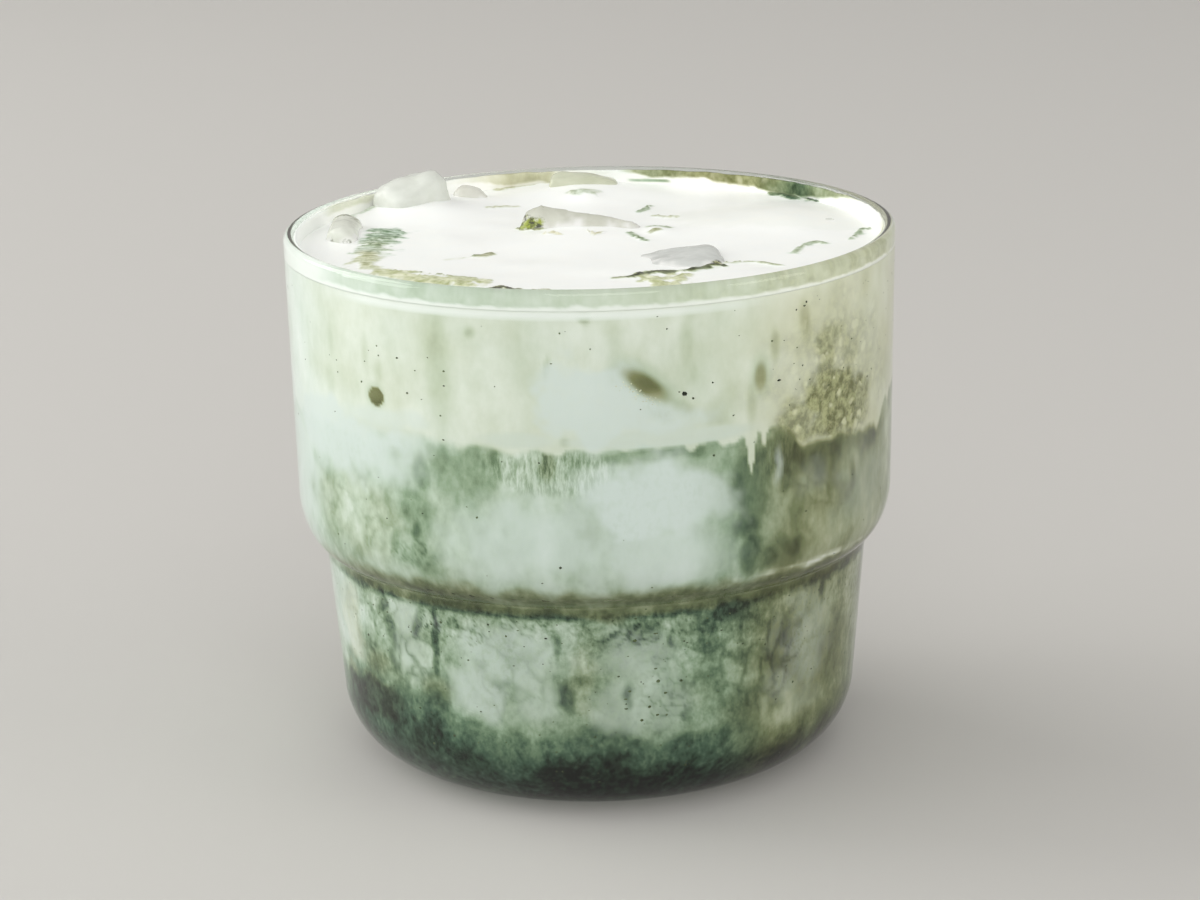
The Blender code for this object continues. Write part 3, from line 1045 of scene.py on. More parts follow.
    def milk_border(self, site: Site) -> tuple[np.ndarray, np.ndarray]:
        """The milk's lower border on the wall.

        It is the latte's waved top less its drips, which are the upper half of tall noise and
        two long falls. It dips at the right, and is soft where the layers mix.

        Args:
            site: The points' site.

        Returns:
            Its height in millimetres, and 0 below it to 1 above.
        """
        near = site.near
        fall = np.zeros(near.shape)
        for turn, width, share in self.falls:
            fall = np.maximum(fall, share * np.exp(-(((near - turn) / width) ** 2)))
        drips = np.maximum(np.maximum(site.drips, 0) * self.drip_length, self.fall_length * fall)
        dip = smooth_step(near, *self.dip_start)
        border = (self.latte_top + self.wave(self.latte_waves, site.turns)) / MM - drips - self.border_drop
        border = border - self.dip * dip * (1 - smooth_step(near, *self.dip_end))
        border = border + self.border_ragged * site.edges
        soft = self.border_soft + self.border_softer_left * (1 - smooth_step(near, *self.soft_left))
        soft = soft + self.border_softer_dip * dip + self.border_softer_fall * fall
        return border, smooth_step(site.pushed, border - soft, border + soft)

    def bubbles(self, site: Site) -> np.ndarray:
        """Pale cells between darker veins, large in the foam and small where it fizzes.

        Args:
            site: The points' site.

        Returns:
            What they add to the mugwort's strength.
        """
        turns = site.turns + 2.6 * site.edges + 1.5 * site.blots
        heights = site.heights + 1.6 * site.blots + 1.0 * site.streaks
        large, shade = self.large_cells.at(turns, heights)
        small, tint = self.small_cells.at(turns, heights)
        foam = self.foam_vein * (1 - smooth_step(large, -0.1, 0.42)) * (0.35 + shade)
        foam = foam - self.foam_pale * smooth_step(large, 0.1, 0.6) * shade
        fizz = self.fizz_vein * (1 - smooth_step(small, -0.1, 0.40)) * tint
        fizz = fizz + self.fizz_tint * (tint - 0.55) * smooth_step(small, 0.1, 0.5)
        flat = np.zeros(site.near.shape)
        total = foam * strongest(self.foam, site.near, site.pushed, flat)
        return total + fizz * strongest(self.fizz, site.near, site.pushed, flat)

    def milk_tone(self, site: Site, halo: np.ndarray) -> np.ndarray:
        """Strength in the milk: its streaks, blots and drifts, and the rings round its spots."""
        tone = self.milk_base + 0.045 * site.streaks + 0.05 * site.blots
        # Darker towards the right and paler at the far left: partly the drink's own colour, partly painted
        # shade at the right and painted light at the far left.
        tone += 0.06 * site.right - 0.06 * site.far_left
        tone += self.still_cover(self.drifts, site, 0.5)
        return tone + (self.halo_tone - tone) * halo

    def latte_tone(self, site: Site, upper: np.ndarray, deep: np.ndarray, veins: np.ndarray) -> np.ndarray:
        """Strength in the latte, greener in the lower tier and towards the right; the rise to the right and
        the fall at the far left are partly painted shade and light.

        Args:
            site: The points' site.
            upper: 0 below the milk's border to 1 above.
            deep: Cover of the deep patches.
            veins: What the bubbles add.

        Returns:
            The strength.
        """
        near = site.near
        lower = 1 - smooth_step(site.heights, *self.lower_tier)
        tone = self.latte_base + 0.07 * site.streaks + 0.10 * site.blots
        # Darker towards the right and paler at the far left: partly the drink's own colour, partly painted
        # shade at the right and painted light at the far left.
        tone += 0.14 * site.right - 0.10 * site.far_left
        tone += (0.03 + 0.07 * smooth_step(near, -132, -104)) * lower
        tone += 0.05 * smooth_step(near, -76, -64) * (1 - upper)
        tone -= 0.06 * smooth_step(near, -56, -46) * lower
        return tone + deep + veins

    def settle(self, site: Site, body: np.ndarray, deep: np.ndarray) -> tuple[np.ndarray, np.ndarray]:
        """Darken the foot of the drink, under the uneven line of what has settled.

        Args:
            site: The points' site.
            body: Strength so far.
            deep: Cover of the deep patches.

        Returns:
            The new strength, and how much of each point is settled green.
        """
        line = np.array(self.settled)
        top = np.interp(site.near, line[:, 0], line[:, 1]) + 1.0 * site.blots + 0.9 * site.streaks
        dark = 1 - smooth_step(site.heights, top - self.settled_below, top + self.settled_above)
        darker = 1 - smooth_step(site.heights, top - self.darker_from, top - self.darker_to)
        left = 1 - smooth_step(site.near, *self.settled_left)
        depth = self.settled_base + (0.24 - 0.08 * left) * darker
        depth += 0.05 * site.blots + 0.05 * site.streaks + 0.55 * deep
        return body + (np.maximum(depth, body) - body) * dark, dark

    def add_shelf(self, site: Site, body: np.ndarray) -> tuple[np.ndarray, np.ndarray, np.ndarray]:
        """Lay the strong band over the step, a dark line of painted shade along its foot and a painted
        highlight along its shoulder at the right.

        Args:
            site: The points' site.
            body: Strength so far.

        Returns:
            The new strength, the band's cover and the cover of the painted shade along its foot.
        """
        heights, near, edges = site.heights, site.near, site.edges
        foot = self.shelf_low + 0.45 * edges
        brow = self.shelf_high + 0.7 * edges + 1.3 * np.maximum(site.blots, 0)
        shelf = smooth_step(heights, foot - 0.4, foot + 0.3)
        shelf = shelf * (1 - smooth_step(heights, brow - 0.8, brow + 1.4)) * (1 - 0.45 * site.far_left)
        tone = self.shelf_base + 0.02 * site.grooves + 0.05 * site.blots + 0.05 * edges
        tone += 0.09 * smooth_step(near, -70, -45) + 0.09 * np.exp(-(((near + 124) / 7) ** 2))
        tone += 0.10 * (1 - smooth_step(heights, foot + 0.4, foot + 2.2))
        body = body + (tone - body) * shelf
        # Painted shade: a dark line just under the band's foot, at the glass step's inner corner.
        crease_shade = np.exp(-(((heights - foot + self.crease_shade_below) / self.crease_shade_width) ** 2))
        crease_shade *= 1 - 0.6 * site.far_left
        crease_shade *= 0.40 + 0.60 * smooth_step(edges, -0.5, 0.3)
        body += (np.maximum(body, self.crease_shade_tone) - body) * crease_shade
        # Painted highlight: a speckled pale line along the step's shoulder at the right, where the glass
        # catches the light.
        painted_gleam = np.exp(-(((heights - self.painted_gleam_height - 0.25 * edges) / self.painted_gleam_width) ** 2))
        painted_gleam *= site.right * (1 - smooth_step(near, *self.painted_gleam_end))
        body -= self.painted_gleam_tone * painted_gleam * (0.3 + 0.7 * smooth_step(site.grooves, -0.25, 0.35))
        return body, shelf, crease_shade

    def painted_highlight_ring(self, site: Site) -> np.ndarray:
        """Painted highlight: the thin white line just under the milk's level, where the meniscus catches the
        light.
        """
        line = np.array(self.painted_highlight_line)
        ring = smooth_step(site.heights, *self.painted_highlight_rise)
        ring = ring * (1 - smooth_step(site.heights, *self.painted_highlight_end))
        return ring * np.interp(site.turns, line[:, 0], line[:, 1])

    def warmth(self, site: Site, upper: np.ndarray, cover: dict[str, np.ndarray]) -> np.ndarray:
        """How yellow the green is: most in the milk, at the right, on the shelf and in the spots.

        Args:
            site: The points' site.
            upper: 0 below the milk's border to 1 above.
            cover: Cover of the dark, shelf, painted highlight, halo and spots.

        Returns:
            The warmth.
        """
        near, right = site.near, site.right
        olive = right * (1 - 0.55 * np.where(site.back, 1.0, smooth_step(near, *self.olive_end)))
        warm = (self.milk_warmth + 0.38 * right) * (1 - 0.5 * site.far_left) * upper
        warm = warm + (self.latte_warmth + 0.58 * olive) * (1 - upper)
        warm = np.maximum(warm, self.pushed_cover(self.yellow, site))
        shelf = self.shelf_warmth + 0.18 * right
        warm += (self.spot_warmth - warm) * cover["spots"] + (shelf - warm) * cover["shelf"]
        warm += (self.halo_warmth - warm) * cover["halo"] * (1 - cover["spots"])
        warm = warm * (1 - 0.55 * cover["dark"] * (1 - right))
        return (warm + 0.08 * site.blots - 0.15 * site.far_left) * (1 - 0.7 * cover["painted_highlight"])

    def specks(self, site: Site, dark: np.ndarray) -> np.ndarray:
        """How speckled the side is: most just under the step, and at the upper right."""
        heights = site.heights
        rise, fall = self.step_specks
        specks = 0.20 + 0.7 * smooth_step(heights, *rise) * (1 - smooth_step(heights, *fall))
        specks += 0.30 * (1 - smooth_step(heights, *self.lower_specks)) + 0.15 * dark
        return specks + 0.35 * smooth_step(heights, *self.upper_specks) * site.right

    def masks(self, points: np.ndarray) -> dict[str, np.ndarray]:
        """Work out what the material reads on the drink's side.

        Strength starts from a base for each layer, blended softly across the layers' waved
        borders. Streaks, blots and patches shift it, and noise shoves the patches about. The
        shelf over the step is strong all round, with a crisp dark line of painted shade along its foot.

        Args:
            points: Rows of x, y, z.

        Returns:
            Each mask by its name, one number for each point.
        """
        site = self.site(points)
        border, upper = self.milk_border(site)
        veins, deep = self.bubbles(site), self.pushed_cover(self.deep, site)
        halo = self.still_cover(self.halos, site, 0.5) * ~site.back
        latte = self.latte_tone(site, upper, deep, veins)
        body = latte + (self.milk_tone(site, halo) - latte) * upper
        body, dark = self.settle(site, body, deep)
        body, shelf, crease_shade = self.add_shelf(site, body)
        # Painted highlight: the side is turned white along the thin line under the milk's level.
        painted_highlight = self.painted_highlight_ring(site)
        body -= body * painted_highlight
        lip = self.still_cover(self.lip, site, 0.2) * ~site.back
        body += (self.lip_tone - body) * lip
        spots = self.still_cover(self.spots, site, 0.25) * ~site.back
        tone = self.spot_tone + self.spot_deeper_left * (site.near < self.spot_left)
        tone = tone + 0.05 * site.blots + 0.11 * site.edges
        body += (tone - body) * spots

        icy = self.pushed_cover(self.pale, site) * (1 - dark) * (1 - shelf) * (1 - crease_shade)
        icy *= (1 - 0.85 * deep / 0.4) * (1 - np.clip(4.5 * veins, 0, 0.8))
        icy = np.clip(np.maximum(icy, 0.55 * lip), 0, 1)
        over_border = smooth_step(site.heights, border - 1.2, border + 0.6)
        froth = self.still_cover(self.froth, site, 1.1) * over_border
        cover = {"dark": dark, "shelf": shelf, "painted_highlight": painted_highlight, "halo": halo, "spots": spots}
        marbled = 1 - 0.65 * upper - 0.45 * icy - 0.6 * spots - 0.35 * site.right
        return {
            "strength": np.clip(body, 0.02, 1.0),
            "warm": np.clip(self.warmth(site, upper, cover), 0, 1),
            "icy": icy * (1 - spots),
            "froth": np.clip(froth, 0, 1) * (1 - spots),
            "speckled": np.clip(self.specks(site, dark), 0, 1),
            "streaky": self.still_cover(self.trickle, site, 0.5) * (1 - upper),
            "marbled": np.clip(marbled, 0, 1) * (1 - painted_highlight),
        }


@dataclass(frozen=True)
class Drift:
    """A line or band of mugwort froth on the milk.

    Its route is in millimetres, as pairs of x and y. Strength says how green it is, froth how
    much of it is bubbles over olive, warm how yellow it is, ragged how uneven its edge is, and
    bars how strongly dark bars cross it.
    """

    route: tuple[tuple[float, float], ...]
    half_width: float
    strength: float
    froth: float = 0.0
    warm: float = 0.55
    ragged: float = 0.55
    bars: float = 0.0

    def cover(self, flat: np.ndarray, clots: np.ndarray) -> np.ndarray:
        """How much of the drift lies at each point.

        The distance from its route, as a share of its half width and pushed about by noise,
        falls from full to none at its edge.

        Args:
            flat: Rows of x and y in millimetres.
            clots: Noise that roughens the edge.

        Returns:
            0 to 1 for each point.
        """
        nearest = np.full(len(flat), np.inf)
        for start, end in zip(self.route[:-1], self.route[1:]):
            begin, run = np.array(start), np.array(end) - np.array(start)
            share = np.clip((flat - begin) @ run / (run @ run), 0, 1)
            away = flat - begin - share[:, None] * run
            nearest = np.minimum(nearest, np.hypot(away[:, 0], away[:, 1]))
        return 1 - smooth_step(nearest / self.half_width + self.ragged * clots, 0.60, 1.15)


@dataclass
class Surface:
    """The milk's top: its ripples, the swell round each ice block and the green froth on it.

    A swell has its x and y, its reach and its height, all in millimetres.
    """

    level: float = 76.8 * MM
    meniscus: float = 0.35 * MM
    meniscus_width: float = 1.2 * MM
    swells: tuple = (
        (-26.0, 24.0, 8.5, 2.0),
        (-17.0, 31.5, 5.5, 0.5),
        (-35.5, 7.5, 6.0, 0.7),
        (-1.0, 7.5, 9.5, 1.0),
        (12.8, -13.0, 8.0, 0.2),
        (-1.0, 37.0, 9.0, 1.7),
        (28.0, 13.0, 12.5, 1.5),
        (-0.8, 30.0, 2.6, 0.7),
        (10.0, 5.5, 2.0, 0.6),
    )
    drifts: tuple[Drift, ...] = (
        Drift(((20.0, 13.0), (37.5, 10.0)), 9.0, 0.07, warm=0.4, ragged=0.2),
        Drift(((-30.0, 7.8), (-30.6, 4.6)), 2.9, 0.70, warm=0.05, ragged=0.7, bars=0.6),
        Drift(((-30.6, 4.6), (-31.6, -0.4)), 2.9, 0.60, warm=0.12, ragged=0.7, bars=0.6),
        Drift(((-31.6, -0.4), (-32.2, -6.0)), 2.8, 0.58, 0.0, warm=0.30, ragged=0.7, bars=0.6),
        Drift(((-32.2, -6.0), (-32.4, -10.8), (-32.2, -13.5)), 2.1, 0.54, 0.35, 0.7, 0.7, 0.6),
        Drift(
            ((-29.0, -18.4), (-24.5, -22.2), (-20.0, -25.2), (-17.4, -26.4)),
            3.0, 0.44, 0.85, 0.9, 0.6,
        ),
        Drift(
            ((-30.8, -15.5), (-27.1, -17.2), (-22.7, -19.2), (-19.1, -21.6), (-16.4, -23.2)),
            0.45, 0.56, 0.0, 0.7, 0.9,
        ),
        Drift(((-24.5, -23.0), (-21.0, -25.8), (-18.0, -27.6)), 0.9, 0.80, 0.0, 0.8, 1.3),
        Drift(((-13.4, -30.9), (-12.2, -29.8), (-10.7, -31.0)), 1.3, 0.82, 0.0, 0.8, 0.8),
        Drift(
            ((-10.3, -31.7), (-6.3, -31.5), (-1.5, -33.2), (3.4, -33.1), (8.1, -31.8)),
            0.6, 0.60, 0.0, 0.9, 1.1,
        ),
        Drift(((3.4, -24.6), (5.9, -24.0)), 0.55, 0.60, 0.0, 0.7, 0.9),
        Drift(((5.9, -24.0), (7.3, -22.4), (9.4, -21.4), (11.2, -21.8)), 0.95, 0.84, 0.0, 0.75, 0.8),
        Drift(((11.2, -22.0), (12.9, -21.8), (14.2, -21.2)), 0.45, 0.66, 0.0, 0.7, 0.9),
        Drift(((14.2, -21.2), (15.2, -20.2), (16.7, -19.2), (18.5, -18.8)), 0.85, 0.86, 0.0, 0.7, 0.7),
        Drift(
            ((18.5, -17.6), (20.7, -16.7), (23.1, -16.3), (24.9, -17.5), (27.2, -19.0)),
            0.35, 0.52, 0.0, 0.6, 0.9,
        ),
        Drift(((8.6, -25.6), (9.6, -28.6), (10.3, -31.2)), 1.9, 0.42, 0.85, 0.85, 1.0),
        Drift(((13.0, -23.8), (12.6, -27.5), (11.4, -31.0)), 1.2, 0.42, 0.85, 0.85, 1.0),
        Drift(((28.6, 31.9), (32.0, 28.4)), 0.8, 0.72, 0.2, 0.4, 1.1),
        Drift(((30.0, 30.2), (32.5, 27.4), (34.5, 24.8)), 1.6, 0.84, 0.0, 0.1, 0.8),
        Drift(((-38.0, 17.4), (-36.0, 21.6), (-33.6, 24.6)), 0.9, 0.34, 0.0, 0.3, 1.1),
        Drift(((-14.0, 40.2), (-9.0, 41.4), (-5.8, 42.0)), 1.0, 0.45, 0.3, 0.9, 1.0),
        Drift(((-10.4, 8.8), (-9.2, 7.4), (-7.4, 6.8)), 0.7, 0.78, 0.3, 0.9, 0.7),
        Drift(((6.0, 3.4), (8.2, -1.2)), 0.5, 0.62, 0.0, 0.3, 0.7),
        Drift(((-0.2, 4.0), (1.0, 2.0), (1.9, 3.2)), 0.6, 0.36, 0.0, 1.0, 1.0),
        Drift(((-6.6, 3.2), (-5.6, 4.0), (-4.6, 2.6)), 0.6, 0.34, 0.0, 1.0, 1.0),
        Drift(((-2.2, 31.0), (0.4, 31.0)), 1.7, 0.42, 0.0, 0.4, 0.5),
        Drift(((-15.7, 24.3), (-13.7, 25.4), (-11.1, 26.6)), 0.45, 0.42, 0.0, 0.8, 0.8),
        Drift(((7.9, 20.1), (8.7, 22.3), (9.4, 25.0)), 0.6, 0.56, 0.0, 0.3, 0.8),
        Drift(((10.1, 16.0), (11.5, 14.6), (13.2, 14.2)), 0.65, 0.42, 0.0, 0.7, 0.8),
        Drift(((8.8, 7.2), (9.9, 8.2), (11.6, 6.8)), 0.8, 0.50, 0.0, 0.4, 0.8),
        Drift(((9.3, 3.8), (10.2, 4.4)), 0.6, 0.50, 0.0, 0.7, 0.8),
        Drift(
            ((29.6, -11.2), (30.5, -8.5), (31.9, -5.9), (33.1, -4.9), (34.0, -5.6)),
            0.62, 0.52, 0.0, 0.35, 0.9,
        ),
        Drift(((38.3, -3.3), (39.5, -0.4), (40.4, 2.6), (41.6, 3.4)), 0.60, 0.52, 0.0, 0.3, 1.0),
        Drift(((-16.6, -8.0), (-15.6, -8.2), (-14.5, -6.8)), 0.75, 0.58, 0.0, 0.8, 0.8),
        Drift(((-20.6, -9.8), (-18.5, -9.0), (-16.6, -8.0)), 0.5, 0.22, 0.0, 0.5, 0.8),
    )
    bar_pitch: float = 1.35
    bar_sway: float = 1.6
    bar_depth: float = 0.75
    bare_strength: float = 0.02
    bare_warmth: float = 0.2
    unevenness: float = 0.16
    even_below: float = 0.1
    ripple: float = 0.22 * MM
    froth_height: float = 0.22 * MM
    froth_relief: float = 0.2 * MM
    ripple_noise: Noise = Noise(9.0 * MM, 51, 2)
    clot_noise: Noise = Noise(1.6 * MM, 53, 3)

    def masks(self, points: np.ndarray) -> dict[str, np.ndarray]:
        """Work out what the material reads on the open surface.

        Args:
            points: Rows of x, y, z.

        Returns:
            Each mask by its name, one number for each point.
        """
        flat, clots = points[:, :2] / MM, self.clot_noise.at(points)
        bars = 0.5 + 0.5 * np.cos(math.tau * flat[:, 1] / self.bar_pitch + self.bar_sway * clots)
        froth = np.zeros(len(points))
        strength, warm = np.full(len(points), self.bare_strength), np.full(len(points), self.bare_warmth)
        for drift in self.drifts:
            cover = drift.cover(flat, clots)
            uneven = self.unevenness * clots * (drift.strength > self.even_below)
            shade = (drift.strength + uneven) * (1 - drift.bars * self.bar_depth * bars)
            strength = np.maximum(strength, cover * shade)
            froth = np.maximum(froth, cover * drift.froth)
            warm += (drift.warm - warm) * cover
        nothing = np.zeros(len(points))
        green = smooth_step(strength, 0.1, 0.4)
        return {
            "strength": np.clip(strength, 0, 1),
            "warm": np.clip(warm + 0.15 * clots, 0, 1),
            "icy": nothing,
            "froth": np.clip(froth, 0, 1),
            "speckled": green,
            "streaky": nothing,
            "marbled": np.clip(0.04 + 1.2 * green, 0, 1),
        }

    def rise(self, points: np.ndarray, edge: float) -> np.ndarray:
        """Height above the level: ripples, swells, froth and the climb at the wall.

        Args:
            points: Rows of x, y, z.
            edge: Radius of the surface's rim.

        Returns:
            Heights in metres.
        """
        radius = np.hypot(points[:, 0], points[:, 1])
        height = self.ripple * self.ripple_noise.at(points) * smooth_step(edge - radius, 0, 4 * MM)
        for x, y, reach, swell in self.swells:
            far = np.hypot(points[:, 0] - x * MM, points[:, 1] - y * MM) / (reach * MM)
            height += swell * MM * np.exp(-far * far) * smooth_step(edge - radius, 0, 2 * MM)
        green = smooth_step(self.masks(points)["strength"], 0.1, 0.5)
        height += green * (self.froth_height + self.froth_relief * self.clot_noise.at(points))
        return height + self.meniscus * np.exp((radius - edge) / self.meniscus_width)


@dataclass
class Drink:
    """The three layers of the drink, each a closed body that reaches just into the glass."""

    tumbler: Tumbler
    marbling: Marbling = field(default_factory=Marbling)
    surface: Surface = field(default_factory=Surface)
    bite: float = 0.12 * MM
    columns: int = 720
    side_pitch: float = 0.42 * MM
    corner_row: float = 0.03 * MM
    surface_rings: int = 80
    surface_start: float = 0.01
    surface_crowding: float = 1.15
    surface_roughness: float = 0.3
    surface_gloss: float = 0.5
    inner_shares: tuple[float, ...] = (0.2, 0.45, 0.7, 0.9)

    def ring(self, radii: np.ndarray, heights: np.ndarray) -> np.ndarray:
        """Rings of points from radii and heights, as rings x columns x 3.

        Args:
            radii: One radius for each ring, or for each point of each ring.
            heights: The same for heights.

        Returns:
            The points.
        """
        return around(radii.reshape(len(radii), -1), self.turns(), heights.reshape(len(heights), -1))

    def turns(self) -> np.ndarray:
        """Directions of the columns in radians."""
        return np.arange(self.columns) * math.tau / self.columns

    def side(self, low: np.ndarray, high: np.ndarray) -> np.ndarray:
        """The side between two waved borders, from the top down.

        Every column is cut into equal shares of its own height, with a thin row at either end
        that keeps the corner's shading off the side. Each point sits at the wall's radius at
        its height.

        Args:
            low: Height of the lower border at each column.
            high: Height of the upper border at each column.

        Returns:
            Rings of points.
        """
        rows = max(4, round(float((high - low).max()) / self.side_pitch))
        thin = self.corner_row / float((high - low).min())
        shares = np.concatenate([[0.0], np.linspace(thin, 1 - thin, rows + 1), [1.0]])[:, None]
        heights = high + (low - high) * shares
        radii = self.tumbler.wall_radius(heights, -self.bite)
        return self.ring(radii, heights)

    def edge_of(self, ring: np.ndarray) -> np.ndarray:
        """Radius of each point of a ring."""
        return np.hypot(ring[:, 0], ring[:, 1])

    def disc(self, edge: np.ndarray, height: np.ndarray, shares: np.ndarray) -> np.ndarray:
        """Rings across the drink, at shares of the radius of its edge.

        Args:
            edge: Radius of the edge at each column.
            height: Height at each column.
            shares: Share of the radius for each ring.

        Returns:
            Rings of points.
        """
        return self.ring(shares[:, None] * edge, np.broadcast_to(height, (len(shares), self.columns)))

    def border(self, layer_top: float, waves: tuple) -> np.ndarray:
        """Height of a border between layers at each column."""
        return layer_top + self.marbling.wave(waves, np.degrees(self.turns()))

    def dress(self, body: bpy.types.Object, layer: Layer, slot: str, top_rings: int = 0) -> None:
        """Store the masks, add the finishes and stand the body for its CAD layer.

        Args:
            body: The layer's new body.
            layer: Which layer it is.
            slot: The record's material slot.
            top_rings: How many of its first rings lie on the open surface.
        """
        points = mesh_points(body)
        masks = self.marbling.masks(points)
        body.data.materials.append(DrinkFinish("drink_" + slot).material())
        if top_rings:
            self.whiten(points, masks, top_rings)
            looks = {"roughness": self.surface_roughness, "gloss": self.surface_gloss, **SURFACE_FROTH}
            body.data.materials.append(DrinkFinish("open_surface", **looks).material())
            which = np.zeros(len(body.data.polygons), dtype=np.int32)
            which[: (top_rings - 1) * self.columns] = 1
            which[-2 * self.columns :: 2] = 1
            body.data.polygons.foreach_set("material_index", which)
        for name, values in masks.items():
            set_attribute(body, name, values)
        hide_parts(layer.value)
        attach(body, "root")

    def whiten(self, points: np.ndarray, masks: dict[str, np.ndarray], top_rings: int) -> None:
        """Turn the open surface white between its lines of froth.

        Args:
            points: Rows of x, y, z.
            masks: The side's masks, changed here on the surface.
            top_rings: How many of the first rings lie on the surface.
        """
        top = np.zeros(len(points))
        top[: (top_rings - 1) * self.columns] = 1.0
        top[-2] = 1.0
        looks = self.surface.masks(points)
        for name, values in looks.items():
            masks[name] += (values - masks[name]) * top

    def build_mugwort(self) -> bpy.types.Object:
        """Build the dark layer on the floor.

        Returns:
            Its body.
        """
        floor = self.tumbler.floor - self.bite
        high = self.border(self.marbling.mugwort_top, self.marbling.mugwort_waves)
        side = self.side(np.full(self.columns, floor), high)
        top = self.disc(self.edge_of(side[0]), high, np.array(self.inner_shares))
        rings = np.concatenate([top, side])
        middle = float(high.mean())
        body = closed_body("mugwort_drink", rings, Vector((0, 0, middle)), Vector((0, 0, floor)))
        self.dress(body, Layer.MUGWORT, "mugwort")
        return body

    def build_latte(self) -> bpy.types.Object:
        """Build the cloudy middle layer.

        Returns:
            Its body.
        """
        low = self.border(self.marbling.mugwort_top, self.marbling.mugwort_waves)
        high = self.border(self.marbling.latte_top, self.marbling.latte_waves)
        side = self.side(low, high)
        shares = np.array(self.inner_shares)
        top = self.disc(self.edge_of(side[0]), high, shares)
        bottom = self.disc(self.edge_of(side[-1]), low, shares[::-1])
        rings = np.concatenate([top, side, bottom])
        ends = Vector((0, 0, float(high.mean()))), Vector((0, 0, float(low.mean())))
        body = closed_body("latte_drink", rings, *ends)
        self.dress(body, Layer.LATTE, "latte")
        return body

    def build_milk(self) -> bpy.types.Object:
        """Build the pale top layer, with the surface that the ice breaks.

        Returns:
            Its body.
        """
        low = self.border(self.marbling.latte_top, self.marbling.latte_waves)
        level = self.surface.level
        edge = float(self.tumbler.wall_radius(np.array([level]), -self.bite)[0])
        shares = 1 - (1 - np.linspace(self.surface_start, 1, self.surface_rings)) ** self.surface_crowding
        top = self.disc(np.full(self.columns, edge), np.full(self.columns, level), shares)
        flat = top.reshape(-1, 3)
        flat[:, 2] += self.surface.rise(flat, edge)
        high = top[-1, :, 2]
        side = self.side(low, high)
        shares = np.array(self.inner_shares)
        bottom = self.disc(self.edge_of(side[-1]), low, shares[::-1])
        rings = np.concatenate([top[:-1], side, bottom])
        ends = Vector((0, 0, float(top[0, :, 2].mean()))), Vector((0, 0, float(low.mean())))
        body = closed_body("milk_drink", rings, *ends)
        self.dress(body, Layer.MILK, "milk", len(top))
        return body


